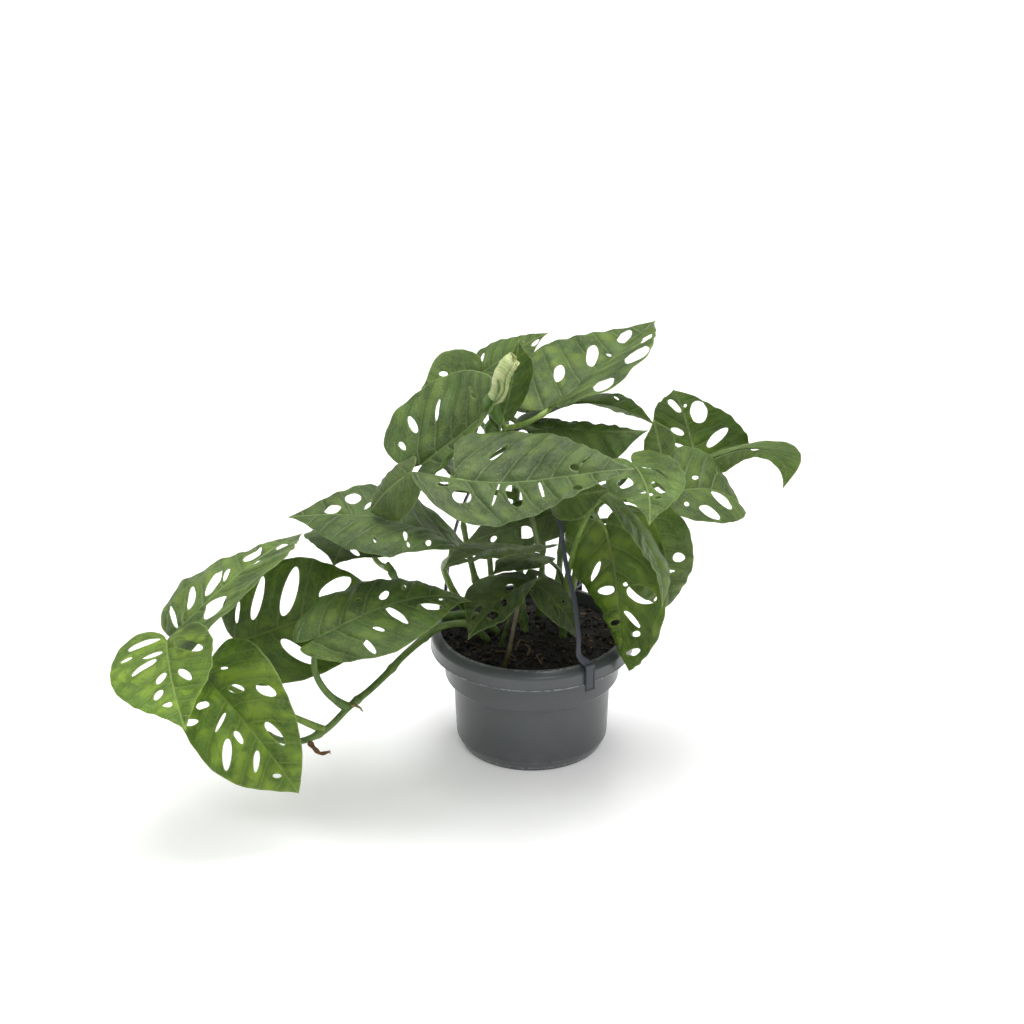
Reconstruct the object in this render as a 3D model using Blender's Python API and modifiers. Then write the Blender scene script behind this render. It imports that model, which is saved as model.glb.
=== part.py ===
"""Monstera adansonii in a 17 cm plastic hanging pot, standing on its base.

Frame: +Z up, metres, origin at the centre of the underside of the pot.
The plant looks its fullest from -Y.  Every leaf is one blade with its stalk
(petiole), every stem is one tube, the pot's hanger is three straps, a hub and
a hook.  A length written as an integer in the tables below is in millimetres.
"""
import bpy
import bmesh
import math
from mathutils import Vector, Matrix
from mathutils.geometry import delaunay_2d_cdt

MM = 0.001
GAP = 0.3                    # mm left between pieces that touch

# ---------------------------------------------------------------- pot (mm)
POT_FOOT_R = 59.7
POT_BODY_TOP_R = 66.0
POT_LEDGE_Z = 62.0
POT_SHOULDER_R = 74.0
POT_RIM_R = 85.0
POT_RIM_UNDER_Z = 89.5       # lower edge of the turned-down rim band
POT_RIM_BAND_Z = 101.0
POT_LIP_Z = 106.0
POT_LIP_IN_R = 76.3
POT_WALL = 1.4
POT_FLOOR = 1.8
DRAIN_HOLES = 6
DRAIN_R = 4.0
SOIL_EDGE_Z = 94.5
SOIL_MID_Z = 97.5

# ---------------------------------------------------------- leaves (mm, deg)
LEAF_THICK = 1.0
LEAVES = [
    dict(name="leaf_vine_end_low",
         base=(-294, -140, 167), aim=(-85, 0, -16), length=122,
         wide=(42, 48), lobe=(0.06, 0.15), widest=(0.37, 0.33), lobe_at=(0.46, 0.32), full=(1.06, 0.95),
         bend=(15, -1), side=7, twist=-4, fold=(8, 10), curl=(16, -3),
         holes=[(2, -18, 28, 9.5, -68), (7, -17, 2, 1.5, -59), (21, -12, 17, 4.5, -71),
                (35, -20, 27, 6.5, -50), (21, -33, 11, 3, -58), (53, -8, 15, 6, -31),
                (72, -13, 13, 6, -32), (88, -8, 9, 7.5, 26), (28, 20, 38, 9, 38),
                (60, 12, 23, 6.5, 22)],
         stalk=("stem_left_trailing", 2.1, (-332, -72, 129), (-206, -121, 90), (-170, -112, 69))),
    dict(name="leaf_vine_end_high",
         base=(-293, -112, 155.5), aim=(17, 43, -15), length=154,
         wide=(59, 59), lobe=(0.02, 0.10), widest=(0.30, 0.37), lobe_at=(0.32, 0.42), full=(0.92, 1.00),
         bend=(24, 26), side=38, twist=13, fold=(-6, 7), curl=(-17, 32),
         holes=[(35, 21, 31, 7, 54), (58, 13, 32, 10, 29), (70, 9, 17, 4.5, 37),
                (102, 11, 22, 12.5, 7), (119, -7, 10, 11, -56), (12, 18, 33, 4.5, 79),
                (41, -20, 23, 21, -30), (93, -5, 8, 7, -27)],
         stalk=("stem_left_trailing", 2.1, (-298, -113, 149), (-291, -103, 146), (-273, -100, 124))),
    dict(name="leaf_vine_hanging",
         base=(-262.5, -134.5, 128), aim=(-57, -7, -28), length=137,
         wide=(49, 46), lobe=(0.09, 0.09), widest=(0.15, 0.41), lobe_at=(0.55, 0.40), full=(1.01, 0.95),
         bend=(33, 74), side=-3, twist=-6, fold=(24, 13), curl=(-7, -14),
         holes=[(8, 17, 8, 2.5, 36), (29, 13, 15, 6.5, 38), (47, 31, 17, 8, 31),
                (75, 14, 22, 7.5, 3), (21, -18, 11, 7.5, 46), (26, -34, 13, 6, 49),
                (42, -16, 18, 3, -63), (60, -12, 12, 5, -7), (65, -28, 25, 7, -43),
                (83, -13, 17, 5, -44), (104, -6, 8, 3.5, 45)],
         stalk=("stem_left_trailing", 2.1, (-264, -122, 112), (-259, -132, 111), (-254, -113, 105))),
    dict(name="leaf_vine_inner",
         base=(-240, -68.5, 128.5), aim=(-16, 26, -69), length=144,
         wide=(54, 50), lobe=(0.07, 0.10), widest=(0.32, 0.38), lobe_at=(0.40, 0.42), full=(1.00, 1.00),
         bend=(24, 84), side=10, twist=1, fold=(6, 17), curl=(-24, -4),
         holes=[(6, 23, 18, 3.5, 66), (27, 29, 37, 8, 57), (55, 25, 42, 11.5, 53),
                (93, 14, 34, 13, 9), (44, -25, 35, 9, -58), (14, -21, 19, 8.5, -58),
                (84, -19, 18, 8.5, -58)],
         stalk=("stem_left_trailing", 2.1, (-267, -59, 109), (-259, -91, 121), (-266, -105, 117))),
    dict(name="leaf_vine_front",
         base=(-170, -114, 158.5), aim=(15, 23, -17), length=137,
         wide=(48, 49), lobe=(0.17, 0.16), widest=(0.15, 0.33), lobe_at=(0.18, 0.06), full=(0.83, 0.72),
         bend=(6, 54), side=4, twist=11, fold=(1, 5), curl=(-22, -20),
         holes=[(39, 17, 6, 3.5, -50), (60, 14, 12, 6.5, 43), (78, 16, 7, 3.5, 68),
                (60, -16, 28, 5, -71), (88, -16, 20, 9.5, -11), (101, -9, 5, 3, 3),
                (42, -22, 11, 3, -50), (29, -35, 17, 5, -77)],
         stalk=("stem_left_trailing", 2.7, (-184, -116, 138), (-180, -114, 108), (-152, -97, 82))),
    dict(name="leaf_left_long",
         base=(-63, -59, 210), aim=(167, 33, -27), length=146,
         wide=(59, 56), lobe=(0.02, 0.10), widest=(0.33, 0.32), lobe_at=(0.16, 0.42), full=(0.77, 1.00),
         bend=(35, 13), side=-10, twist=45, fold=(9, 5), curl=(-39, 6),
         holes=[(94, -22, 13, 13, 61), (107, -5, 14, 7.5, 7), (80, -16, 12, 3, 78),
                (22, 38, 9, 4, -86), (41, 33, 14, 3, -76), (36, 46, 9, 2, -72),
                (63, 41, 10, 2, -70)],
         stalk=("soil", 2.7, (-66, -52, 188), (-90, 6, 172), (-50, 26, 99))),
    dict(name="leaf_left_under",
         base=(-137, 20.5, 188), aim=(-114, 26, -4), length=88,
         wide=(42, 42), lobe=(0.10, 0.10), widest=(0.38, 0.38), lobe_at=(0.42, 0.42), full=(1.00, 1.00),
         bend=(19, 31), side=12, twist=8, fold=(-5, 6), curl=(-24, -28),
         holes=[(9, 17, 16, 5, 58), (37, 20, 18, 5, 58), (64, 12, 11, 5, 58),
                (9, -17, 16, 5, -58), (37, -20, 19, 5, -58)],
         stalk=("stem_left_short", 2.1, (-135, 24, 159), (-131, 5, 162), (-119, -15, 169))),
    dict(name="leaf_left_small",
         base=(-98.5, -70.5, 283.5), aim=(166, -39, 41), length=63,
         wide=(29, 27), lobe=(0.09, 0.10), widest=(0.37, 0.36), lobe_at=(0.42, 0.42), full=(1.02, 1.00),
         bend=(14, 23), side=-1, twist=3, fold=(0, 0), curl=(-30, -56),
         holes=[],
         stalk=("stem_centre", 1.2, (-70, -74, 249), (-45, -1, 265), (-18, 35, 256))),
    dict(name="leaf_upper_left",
         base=(-90, -16.5, 265), aim=(-1, 42, -36), length=123,
         wide=(59, 57), lobe=(0.18, 0.10), widest=(0.25, 0.34), lobe_at=(0.57, 0.42), full=(1.18, 1.00),
         bend=(0, -60), side=-18, twist=15, fold=(14, 17), curl=(-18, 46),
         holes=[(9, 34, 17, 5.5, 90), (-7, 24, 10, 4.5, -77), (33, 31, 18, 3.5, 59),
                (70, 27, 7, 2.5, -75), (70, 19, 7, 2, -61), (52, -26, 24, 7, -58)],
         stalk=("stem_centre", 2.1, (-92, -9, 229), (-33, 29, 223), (-13, 34, 210))),
    dict(name="leaf_top_left_small",
         base=(-43.5, 79.5, 304.5), aim=(-134, 17, 45), length=62,
         wide=(22, 23), lobe=(0.10, 0.12), widest=(0.36, 0.40), lobe_at=(0.42, 0.48), full=(1.00, 1.08),
         bend=(17, 24), side=7, twist=-7, fold=(8, 13), curl=(-20, -16),
         holes=[(38, -4, 8, 4.5, -16), (6, 9, 8, 3.5, 58), (26, 10, 10, 3.5, 58),
                (45, 6, 6, 3.5, 58)],
         stalk=("stem_centre", 1.7, (-36, 89, 286), (-20, 46, 279), (-21, 29, 276))),
    dict(name="leaf_top_back",
         base=(-53.5, 97.5, 285), aim=(3, 43, -28), length=82,
         wide=(29, 30), lobe=(0.10, 0.15), widest=(0.33, 0.31), lobe_at=(0.41, 0.51), full=(0.99, 1.09),
         bend=(15, 12), side=4, twist=12, fold=(4, 6), curl=(-30, -20),
         holes=[(67, -5, 9, 4.5, 28), (21, 14, 13, 5, 58), (8, -12, 11, 5, -58),
                (34, -13, 12, 5, -58)],
         stalk=("stem_centre", 2.1, (-56, 102, 260), (-35, 40, 260), (-18, 32, 256))),
    dict(name="leaf_young_half_open",
         base=(-24, -3, 301.5), aim=(-8, 76, -149), length=72,
         wide=(26, 26), lobe=(0.10, 0.09), widest=(0.39, 0.39), lobe_at=(0.42, 0.41), full=(0.99, 0.98),
         bend=(2, 6), side=4, twist=16, fold=(8, 7), curl=(-19, -20),
         holes=[(30, 12, 11, 4, 58)],
         stalk=("stem_centre", 1.7, (-17, -2, 256), (-15, 7, 233), (-14, 34, 221))),
    dict(name="leaf_top_right",
         base=(12.5, 9, 303.5), aim=(40, 15, 4), length=149,
         wide=(67, 66), lobe=(0.10, 0.02), widest=(0.32, 0.25), lobe_at=(0.42, 0.40), full=(1.00, 1.01),
         bend=(-2, 10), side=21, twist=5, fold=(15, 29), curl=(-14, -19),
         holes=[(39, 23, 18, 13, -60), (73, 17, 20, 18, 4), (112, 9, 23, 9.5, 11),
                (82, 5, 4, 4, 68), (93, -35, 22, 9, 33), (68, -47, 22, 20.5, 44),
                (28, -49, 21, 16.5, 55)],
         stalk=("stem_centre", 2.1, (-15, -14, 289), (-29, 15, 286), (-23, 28, 281))),
    dict(name="leaf_arched",
         base=(-2, 44, 284), aim=(4, 18, 4), length=110,
         wide=(40, 41), lobe=(0.10, 0.10), widest=(0.38, 0.37), lobe_at=(0.42, 0.42), full=(1.00, 1.00),
         bend=(14, 47), side=0, twist=52, fold=(4, 15), curl=(-4, -23),
         holes=[(72, -13, 6, 3, 52), (11, 16, 15, 6.5, 58), (46, 19, 18, 6.5, 58),
                (11, -17, 15, 6.5, -58), (46, -19, 18, 6.5, -58)],
         stalk=("stem_centre", 2.1, (-14, 40, 276), (-7, 29, 277), (-20, 30, 270))),
    dict(name="leaf_behind_arched",
         base=(4.5, 7, 286.5), aim=(5, -3, -16), length=93,
         wide=(30, 38), lobe=(0.09, 0.10), widest=(0.34, 0.36), lobe_at=(0.41, 0.42), full=(0.98, 1.00),
         bend=(12, -20), side=1, twist=13, fold=(-14, -34), curl=(-16, -24),
         holes=[],
         stalk=("stem_centre", 2.1, (-25, 9, 291), (-1, 13, 288), (-26, 26, 290))),
    dict(name="leaf_front_large",
         base=(-60.5, -110.5, 297), aim=(-1, -12, -25), length=147,
         wide=(57, 57), lobe=(0.04, 0.25), widest=(0.21, 0.18), lobe_at=(0.51, 0.05), full=(1.01, 0.62),
         bend=(-47, 25), side=-2, twist=5, fold=(10, 11), curl=(-24, 2),
         holes=[(-8, -11, 14, 6, 20), (6, -22, 17, 15, 53), (31, 31, 23, 6, 51),
                (34, -18, 33, 2, 88), (50, -21, 35, 11.5, -68), (72, -16, 25, 2.5, -70),
                (103, -19, 13, 5.5, -43), (97, 6, 8, 5, -17), (106, 12, 9, 2.5, 19)],
         stalk=("stem_centre", 2.1, (-79, -115, 275), (-50, 14, 281), (-20, 31, 270))),
    dict(name="leaf_right_front",
         base=(80, -76, 294.5), aim=(-71, -1, 2), length=89,
         wide=(33, 31), lobe=(0.18, 0.12), widest=(0.36, 0.37), lobe_at=(0.31, 0.38), full=(1.03, 0.98),
         bend=(-2, 33), side=-21, twist=10, fold=(17, 9), curl=(-12, -44),
         holes=[(36, -16, 16, 12.5, 3), (52, -5, 6, 4.5, -53), (54, 2, 5, 2.5, 11),
                (61, 7, 6, 3.5, 81), (47, 9, 19, 6.5, 21), (24, 12, 30, 2.5, 30),
                (9, -13, 12, 5, -58)],
         stalk=("stem_right", 2.1, (73, -56, 264), (67, -12, 240), (60, 8, 232))),
    dict(name="leaf_right_upright",
         base=(106, -47.5, 282), aim=(-153, 76, 85), length=42,
         wide=(15, 15), lobe=(0.10, 0.10), widest=(0.37, 0.36), lobe_at=(0.42, 0.42), full=(1.00, 1.00),
         bend=(-3, 6), side=0, twist=2, fold=(6, 9), curl=(-21, -18),
         holes=[],
         stalk=("stem_right", 1.2, (82, -29, 290), (83, -2, 248), (60, 8, 232))),
    dict(name="leaf_right_raised",
         base=(139.5, 91, 219), aim=(-123, 68, -16), length=104,
         wide=(52, 31), lobe=(0.10, 0.10), widest=(0.29, 0.33), lobe_at=(0.42, 0.42), full=(1.01, 1.00),
         bend=(4, 25), side=3, twist=1, fold=(10, 12), curl=(-25, -18),
         holes=[(67, -7, 19, 8.5, -16), (69, 3, 5, 2.5, 13), (61, 13, 34, 14, 13),
                (30, -12, 12, 7, -53), (26, 23, 37, 8, 38), (10, -13, 12, 6, -58)],
         stalk=("stem_right", 2.1, (139, 84, 202), (53, 15, 156), (36, 4, 151))),
    dict(name="leaf_right_curled",
         base=(141, 23, 248.5), aim=(26, 12, 13), length=118,
         wide=(41, 39), lobe=(0.10, 0.10), widest=(0.32, 0.31), lobe_at=(0.42, 0.42), full=(1.01, 1.00),
         bend=(8, 110), side=21, twist=-18, fold=(6, 23), curl=(-110, 1),
         holes=[(67, 15, 10, 7, -89), (12, 17, 16, 7, 58)],
         stalk=("stem_right", 2.1, (103, 4, 233), (66, 1, 225), (57, 8, 224))),
    dict(name="leaf_right_outer",
         base=(111.5, -61, 260.5), aim=(32, -1, -24), length=102,
         wide=(41, 39), lobe=(0.10, 0.09), widest=(0.35, 0.30), lobe_at=(0.42, 0.42), full=(1.00, 1.05),
         bend=(24, 43), side=-8, twist=6, fold=(21, 8), curl=(-12, -21),
         holes=[(46, -13, 22, 18, -74), (23, -28, 20, 11.5, -37), (29, 10, 7, 3.5, 11),
                (54, 18, 5, 2.5, 35), (6, -16, 6, 4, 43), (10, 17, 16, 6, 58)],
         stalk=("stem_right", 2.1, (83, -73, 255), (63, -11, 236), (54, 7, 216))),
    dict(name="leaf_right_hanging",
         base=(60, -36.5, 214.5), aim=(-61, -52, -42), length=139,
         wide=(53, 55), lobe=(0.10, 0.13), widest=(0.36, 0.37), lobe_at=(0.42, 0.47), full=(1.00, 1.03),
         bend=(12, 39), side=-51, twist=-57, fold=(10, -4), curl=(-10, -38),
         holes=[(34, -20, 26, 4.5, -43), (52, -13, 21, 7.5, -76), (32, 19, 10, 2, 64),
                (52, 28, 31, 11.5, 84), (45, 12, 6, 3, -83), (71, 17, 23, 6, 74),
                (81, -6, 12, 4.5, -57), (81, 22, 13, 4, -67), (97, 19, 23, 5, -57),
                (107, -5, 8, 2.5, -37)],
         stalk=("stem_right", 2.1, (53, -21, 213), (52, 2, 214), (51, 6, 209))),
    dict(name="leaf_right_behind",
         base=(89.5, 8.5, 201.5), aim=(-44, -46, -23), length=96,
         wide=(34, 34), lobe=(0.10, 0.10), widest=(0.26, 0.36), lobe_at=(0.42, 0.42), full=(1.01, 1.00),
         bend=(28, 55), side=-3, twist=-3, fold=(13, 8), curl=(-21, -20),
         holes=[(42, 16, 11, 7.5, 60), (51, 6, 8, 2.5, 66), (10, -14, 13, 5.5, -58),
                (41, -16, 15, 5.5, -58), (70, -10, 9, 5.5, -58)],
         stalk=("stem_right", 2.1, (83, 19, 194), (60, 10, 202), (48, 6, 200))),
    dict(name="leaf_right_edge_on",
         base=(58.5, -68, 261), aim=(-35, -28, 30), length=108,
         wide=(39, 39), lobe=(0.10, 0.10), widest=(0.38, 0.34), lobe_at=(0.42, 0.42), full=(1.00, 1.00),
         bend=(9, 45), side=-7, twist=3, fold=(12, 6), curl=(-29, -10),
         holes=[],
         stalk=("stem_right", 2.1, (41, -62, 251), (21, -12, 143), (32, 2, 133))),
    dict(name="leaf_low_left",
         base=(-4.5, -49, 172), aim=(-145, -8, -18), length=72,
         wide=(29, 31), lobe=(0.09, 0.10), widest=(0.40, 0.37), lobe_at=(0.41, 0.42), full=(0.97, 0.98),
         bend=(16, 29), side=2, twist=31, fold=(16, 19), curl=(-13, 2),
         holes=[(49, -7, 14, 4.5, 9), (45, 9, 15, 8, -84), (30, 8, 14, 5, 66),
                (14, -5, 7, 7.5, 79)],
         stalk=("soil", 1.7, (-14, -61, 162), (-15, -51, 123), (-22, -51, 99))),
    dict(name="leaf_low_right",
         base=(-3.5, -28, 164.5), aim=(-25, -21, 4), length=69,
         wide=(24, 25), lobe=(0.08, 0.10), widest=(0.33, 0.39), lobe_at=(0.39, 0.41), full=(0.98, 0.98),
         bend=(27, 24), side=3, twist=-14, fold=(8, 11), curl=(-17, -5),
         holes=[(35, -8, 13, 5, -30), (34, 8, 4, 2.5, 83), (7, 10, 9, 4, 58),
                (7, -10, 9, 4, -58)],
         stalk=("soil", 1.7, (-16, -23, 147), (-15, -25, 137), (-26, -19, 99))),
    dict(name="leaf_centre_twisted",
         base=(6, -65, 212), aim=(-152, 16, -23), length=95,
         wide=(34, 35), lobe=(0.10, 0.10), widest=(0.36, 0.37), lobe_at=(0.42, 0.43), full=(1.00, 1.01),
         bend=(4, 33), side=1, twist=20, fold=(12, 7), curl=(-20, -18),
         holes=[(70, 5, 10, 6, -15)],
         stalk=("stem_centre", 2.1, (-1, -32, 220), (-3, 2, 231), (-16, 38, 240))),
    dict(name="leaf_centre_low",
         base=(7, -29, 187), aim=(-133, 15, -5), length=59,
         wide=(21, 21), lobe=(0.10, 0.10), widest=(0.36, 0.36), lobe_at=(0.42, 0.42), full=(1.00, 1.00),
         bend=(12, 10), side=-2, twist=5, fold=(7, 6), curl=(-13, -22),
         holes=[],
         stalk=("soil", 1.7, (30, -4, 168), (26, 15, 128), (31, 30, 99))),
    dict(name="leaf_centre_shaded",
         base=(25, 15.5, 205.5), aim=(-157, -7, 11), length=90,
         wide=(31, 31), lobe=(0.10, 0.10), widest=(0.34, 0.36), lobe_at=(0.42, 0.42), full=(1.01, 1.00),
         bend=(1, 8), side=-4, twist=-1, fold=(9, 8), curl=(-14, -20),
         holes=[(39, 12, 19, 14.5, -79), (65, 9, 8, 5, 58), (9, -13, 12, 5, -58),
                (38, -15, 13, 5, -58)],
         stalk=("stem_centre", 2.1, (35, 20, 186), (1, 21, 185), (-11, 24, 160))),
    dict(name="leaf_under_front",
         base=(19, -71, 259), aim=(-52, 30, -71), length=60,
         wide=(20, 20), lobe=(0.10, 0.10), widest=(0.36, 0.37), lobe_at=(0.42, 0.42), full=(1.00, 1.00),
         bend=(13, 21), side=0, twist=-3, fold=(8, 7), curl=(-20, -19),
         holes=[],
         stalk=("stem_right", 1.7, (16, -41, 238), (39, -10, 228), (45, 6, 190))),
    dict(name="leaf_small_folded",
         base=(-63, 7, 247.5), aim=(-102, 38, 63), length=44,
         wide=(16, 16), lobe=(0.10, 0.10), widest=(0.36, 0.36), lobe_at=(0.42, 0.42), full=(1.00, 1.00),
         bend=(9, 21), side=1, twist=1, fold=(8, 10), curl=(-22, -17),
         holes=[],
         stalk=("stem_centre", 1.7, (-63, 15, 240), (-22, 31, 220), (-15, 34, 231))),
]

STEMS = [   # name, radius, points from the soil outwards
    ("stem_left_trailing", 3.2, [(-38, -8, 98), (-52, -12, 114), (-70, -16, 116), (-84, -20, 111), (-106, -45, 103), (-119, -62, 96), (-134, -80, 89), (-150, -95, 82), (-170, -112, 69), (-192, -124, 65), (-216, -126, 72), (-238, -121, 91), (-259, -110, 109), (-273, -100, 124)]),
    ("stem_left_short", 3.6, [(-30, 6, 98), (-48, 4, 114), (-84, -10, 122), (-100, -14, 138), (-113, -16, 158), (-120, -14, 173)]),
    ("stem_centre", 3.4, [(-6, 8, 98), (-9, 16, 125), (-11, 27, 160), (-13, 39, 200), (-16, 38, 240), (-20, 31, 270), (-26, 26, 290)]),
    ("stem_middle_left", 3.1, [(-40, 34, 98), (-46, 31, 127), (-53, 29, 160), (-58, 28, 190)]),
    ("stem_middle", 2.8, [(-28, 30, 98), (-33, 29, 127), (-36, 28, 160), (-39, 28, 188)]),
    ("stem_middle_right", 2.8, [(6, 36, 98), (8, 34, 130), (9, 32, 160), (10, 31, 190)]),
    ("stem_back_right", 3.0, [(20, 28, 98), (22, 27, 130), (24, 27, 162), (26, 29, 192)]),
    ("stem_right", 3.4, [(26, 0, 98), (30, 2, 125), (38, 4, 160), (48, 6, 200), (60, 8, 232)]),
]

STRAPS = [  # name, points from the rim up to the hub
    ("hanger_strap_front", [(46.5, -71, 108), (38.5, -71, 116.5), (38, -68.5, 129.5), (36.5, -64.5, 146), (34.5, -59, 161.5), (30.5, -53, 177), (27, -47, 192), (24.5, -41, 207.5), (23, -37, 219.5), (17, -20, 240), (8, -4, 251), (-3, 9.5, 257)]),
    ("hanger_strap_left", [(-73.5, 42.5, 108), (-72, 43, 130), (-66, 46, 168), (-54, 46, 206), (-38, 38, 236), (-24, 24, 251), (-15, 17, 257)]),
    ("hanger_strap_back", [(38.5, 76, 108), (36, 71, 130), (32, 58, 165), (25, 46, 205), (14, 35, 232), (3, 26, 250), (-3, 21, 257)]),
]
HUB = (-8, 15, 258)
HOOK = [(-8, 15, 260), (-8, 15, 267), (-3.5, 15, 270), (-1, 15, 275),
        (-3, 15, 280.5), (-8, 15, 283), (-13, 15, 281), (-15, 15, 276.5)]

ROLLED = [(-20.5, 25.5, 262), (-26, 13, 271.5), (-27, -1.5, 289), (-27, -18, 304), (-31, -23.5, 315.5), (-34.5, -24.5, 324), (-29, -23.5, 333.5), (-27, -24, 346), (-22, -23, 356), (-16, -22, 363)]
ROLLED_R = (1.8, 1.6, 1.4, 1.8, 2.3, 2.6, 3.6, 5.4, 6.6, 4.5)

SMALL = [
    ("root_aerial", 1.8, [(-148, -101, 87), (-144, -104, 87), (-140, -105, 85)]),
    ("sheath_dried", 2.4, [(-182, -129, 67), (-178, -132, 63), (-173, -133, 59), (-167, -133, 60)]),
]


# ------------------------------------------------------------ small helpers
def clear_scene():
    for ob in list(bpy.data.objects):
        bpy.data.objects.remove(ob, do_unlink=True)


def collection(name):
    col = bpy.data.collections.new(name)
    bpy.context.scene.collection.children.link(col)
    return col


def material(name, rgb, rough, metal=0.0):
    mat = bpy.data.materials.new(name)
    mat.use_nodes = True
    bsdf = mat.node_tree.nodes["Principled BSDF"]
    bsdf.inputs["Base Color"].default_value = (*rgb, 1.0)
    bsdf.inputs["Roughness"].default_value = rough
    bsdf.inputs["Metallic"].default_value = metal
    mat.diffuse_color = (*rgb, 1.0)
    return mat


def place(name, mesh, rgb, rough, smooth=True):
    """Puts a finished mesh in the plant's collection under its own name."""
    ob = bpy.data.objects.new(name, mesh)
    mesh.name = name
    mesh.materials.clear()
    mesh.materials.append(material(name, rgb, rough))
    if smooth:
        mesh.shade_smooth()
        mesh.set_sharp_from_angle(angle=math.radians(40))
    PARTS.objects.link(ob)
    ob.parent = ORIGIN
    return ob


def baked(ob):
    """The object's evaluated shape as a mesh of its own; the object goes."""
    bpy.context.view_layer.update()
    dg = bpy.context.evaluated_depsgraph_get()
    mesh = bpy.data.meshes.new_from_object(ob.evaluated_get(dg))
    mesh.transform(ob.matrix_world)
    bpy.data.objects.remove(ob, do_unlink=True)
    return mesh


def weld(mesh, dist=0.00002):
    bm = bmesh.new()
    bm.from_mesh(mesh)
    bmesh.ops.remove_doubles(bm, verts=bm.verts, dist=dist)
    bmesh.ops.recalc_face_normals(bm, faces=bm.faces)
    bm.to_mesh(mesh)
    bm.free()
    return mesh


def tube(points, radii, sides=2):
    """A tube with filled caps along points (mm), as a closed mesh."""
    cu = bpy.data.curves.new("tube", "CURVE")
    cu.dimensions = "3D"
    cu.fill_mode = "FULL"
    cu.bevel_depth = MM
    cu.bevel_resolution = sides
    cu.use_fill_caps = True
    sp = cu.splines.new("POLY")
    sp.points.add(len(points) - 1)
    for bp, p, r in zip(sp.points, points, radii):
        bp.co = (p[0] * MM, p[1] * MM, p[2] * MM, 1.0)
        bp.radius = r
    ob = bpy.data.objects.new("tube", cu)
    bpy.context.scene.collection.objects.link(ob)
    return weld(baked(ob))


def box(size, centre, turn=0.0):
    """A box of size (mm) at centre (mm), turned about the pot's axis."""
    bm = bmesh.new()
    bmesh.ops.create_cube(bm, size=1.0)
    bmesh.ops.scale(bm, vec=Vector(size) * MM, verts=bm.verts)
    bmesh.ops.translate(bm, vec=Vector(centre) * MM, verts=bm.verts)
    bmesh.ops.rotate(bm, cent=(0, 0, 0), verts=bm.verts,
                     matrix=Matrix.Rotation(turn, 3, "Z"))
    mesh = bpy.data.meshes.new("box")
    bm.to_mesh(mesh)
    bm.free()
    return mesh


def boolean(mesh, other, operation):
    a = bpy.data.objects.new("a", mesh)
    b = bpy.data.objects.new("b", other)
    for ob in (a, b):
        bpy.context.scene.collection.objects.link(ob)
    mod = a.modifiers.new("bool", "BOOLEAN")
    mod.operation = operation
    mod.solver = "EXACT"
    mod.object = b
    out = baked(a)
    bpy.data.objects.remove(b, do_unlink=True)
    return out


def turned(profile, steps):
    """Turns a profile (r, z in mm), listed down its outer side."""
    mesh = bpy.data.meshes.new("profile")
    mesh.from_pydata([(r * MM, 0, z * MM) for r, z in profile],
                     [(i, i + 1) for i in range(len(profile) - 1)], [])
    ob = bpy.data.objects.new("turned", mesh)
    bpy.context.scene.collection.objects.link(ob)
    mod = ob.modifiers.new("turn", "SCREW")
    mod.steps = mod.render_steps = steps
    mod.use_merge_vertices = True
    mod.merge_threshold = 0.00001
    return baked(ob)


def smooth_path(pts, n):
    """A Catmull-Rom curve through pts with n steps between two of them."""
    pts = [Vector(p) for p in pts]
    pts = [2 * pts[0] - pts[1]] + pts + [2 * pts[-1] - pts[-2]]
    out = []
    for i in range(1, len(pts) - 2):
        a, b, c, d = pts[i - 1:i + 3]
        for k in range(n):
            t = k / n
            out.append(0.5 * (2 * b + (c - a) * t + (2 * a - 5 * b + 4 * c - d)
                              * t * t + (3 * b - a - 3 * c + d) * t ** 3))
    out.append(pts[-2])
    return out


def bezier(p0, p1, p2, p3, n):
    p0, p1, p2, p3 = Vector(p0), Vector(p1), Vector(p2), Vector(p3)
    out = []
    for i in range(n + 1):
        t = i / n
        s = 1 - t
        out.append(p0 * s ** 3 + p1 * 3 * s * s * t + p2 * 3 * s * t * t
                   + p3 * t ** 3)
    return out


# ------------------------------------------------------------- leaf geometry
def midrib(leaf, n=16):
    """Points and frames (tangent, left, up) along the blade's midrib."""
    yaw, pitch, roll = (math.radians(a) for a in leaf["aim"])
    length = leaf["length"]
    t = Vector((math.cos(pitch) * math.cos(yaw),
                math.cos(pitch) * math.sin(yaw), math.sin(pitch)))
    left = Vector((-math.sin(yaw), math.cos(yaw), 0.0))
    up = t.cross(left)
    q = Matrix.Rotation(-roll, 3, t)
    left, up = q @ left, q @ up
    p = Vector(leaf["base"])
    frames = [(p.copy(), t.copy(), left.copy(), up.copy())]
    b1, b2 = leaf["bend"]
    for i in range(n):
        u = (i + 0.5) / n
        a = math.radians(b1) * (1 - u) * 2 / n + math.radians(b2) * u * 2 / n
        b = math.radians(leaf["side"]) / n
        w = math.radians(leaf["twist"]) / n
        tm = Matrix.Rotation(b / 2, 3, up) @ (Matrix.Rotation(a / 2, 3, left) @ t)
        p = p + tm.normalized() * (length / n)
        q = Matrix.Rotation(a, 3, left)
        t, up = q @ t, q @ up
        q = Matrix.Rotation(b, 3, up)
        t, left = q @ t, q @ left
        q = Matrix.Rotation(-w, 3, t)
        left, up = q @ left, q @ up
        frames.append((p.copy(), t.copy(), left.copy(), up.copy()))
    return frames


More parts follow.
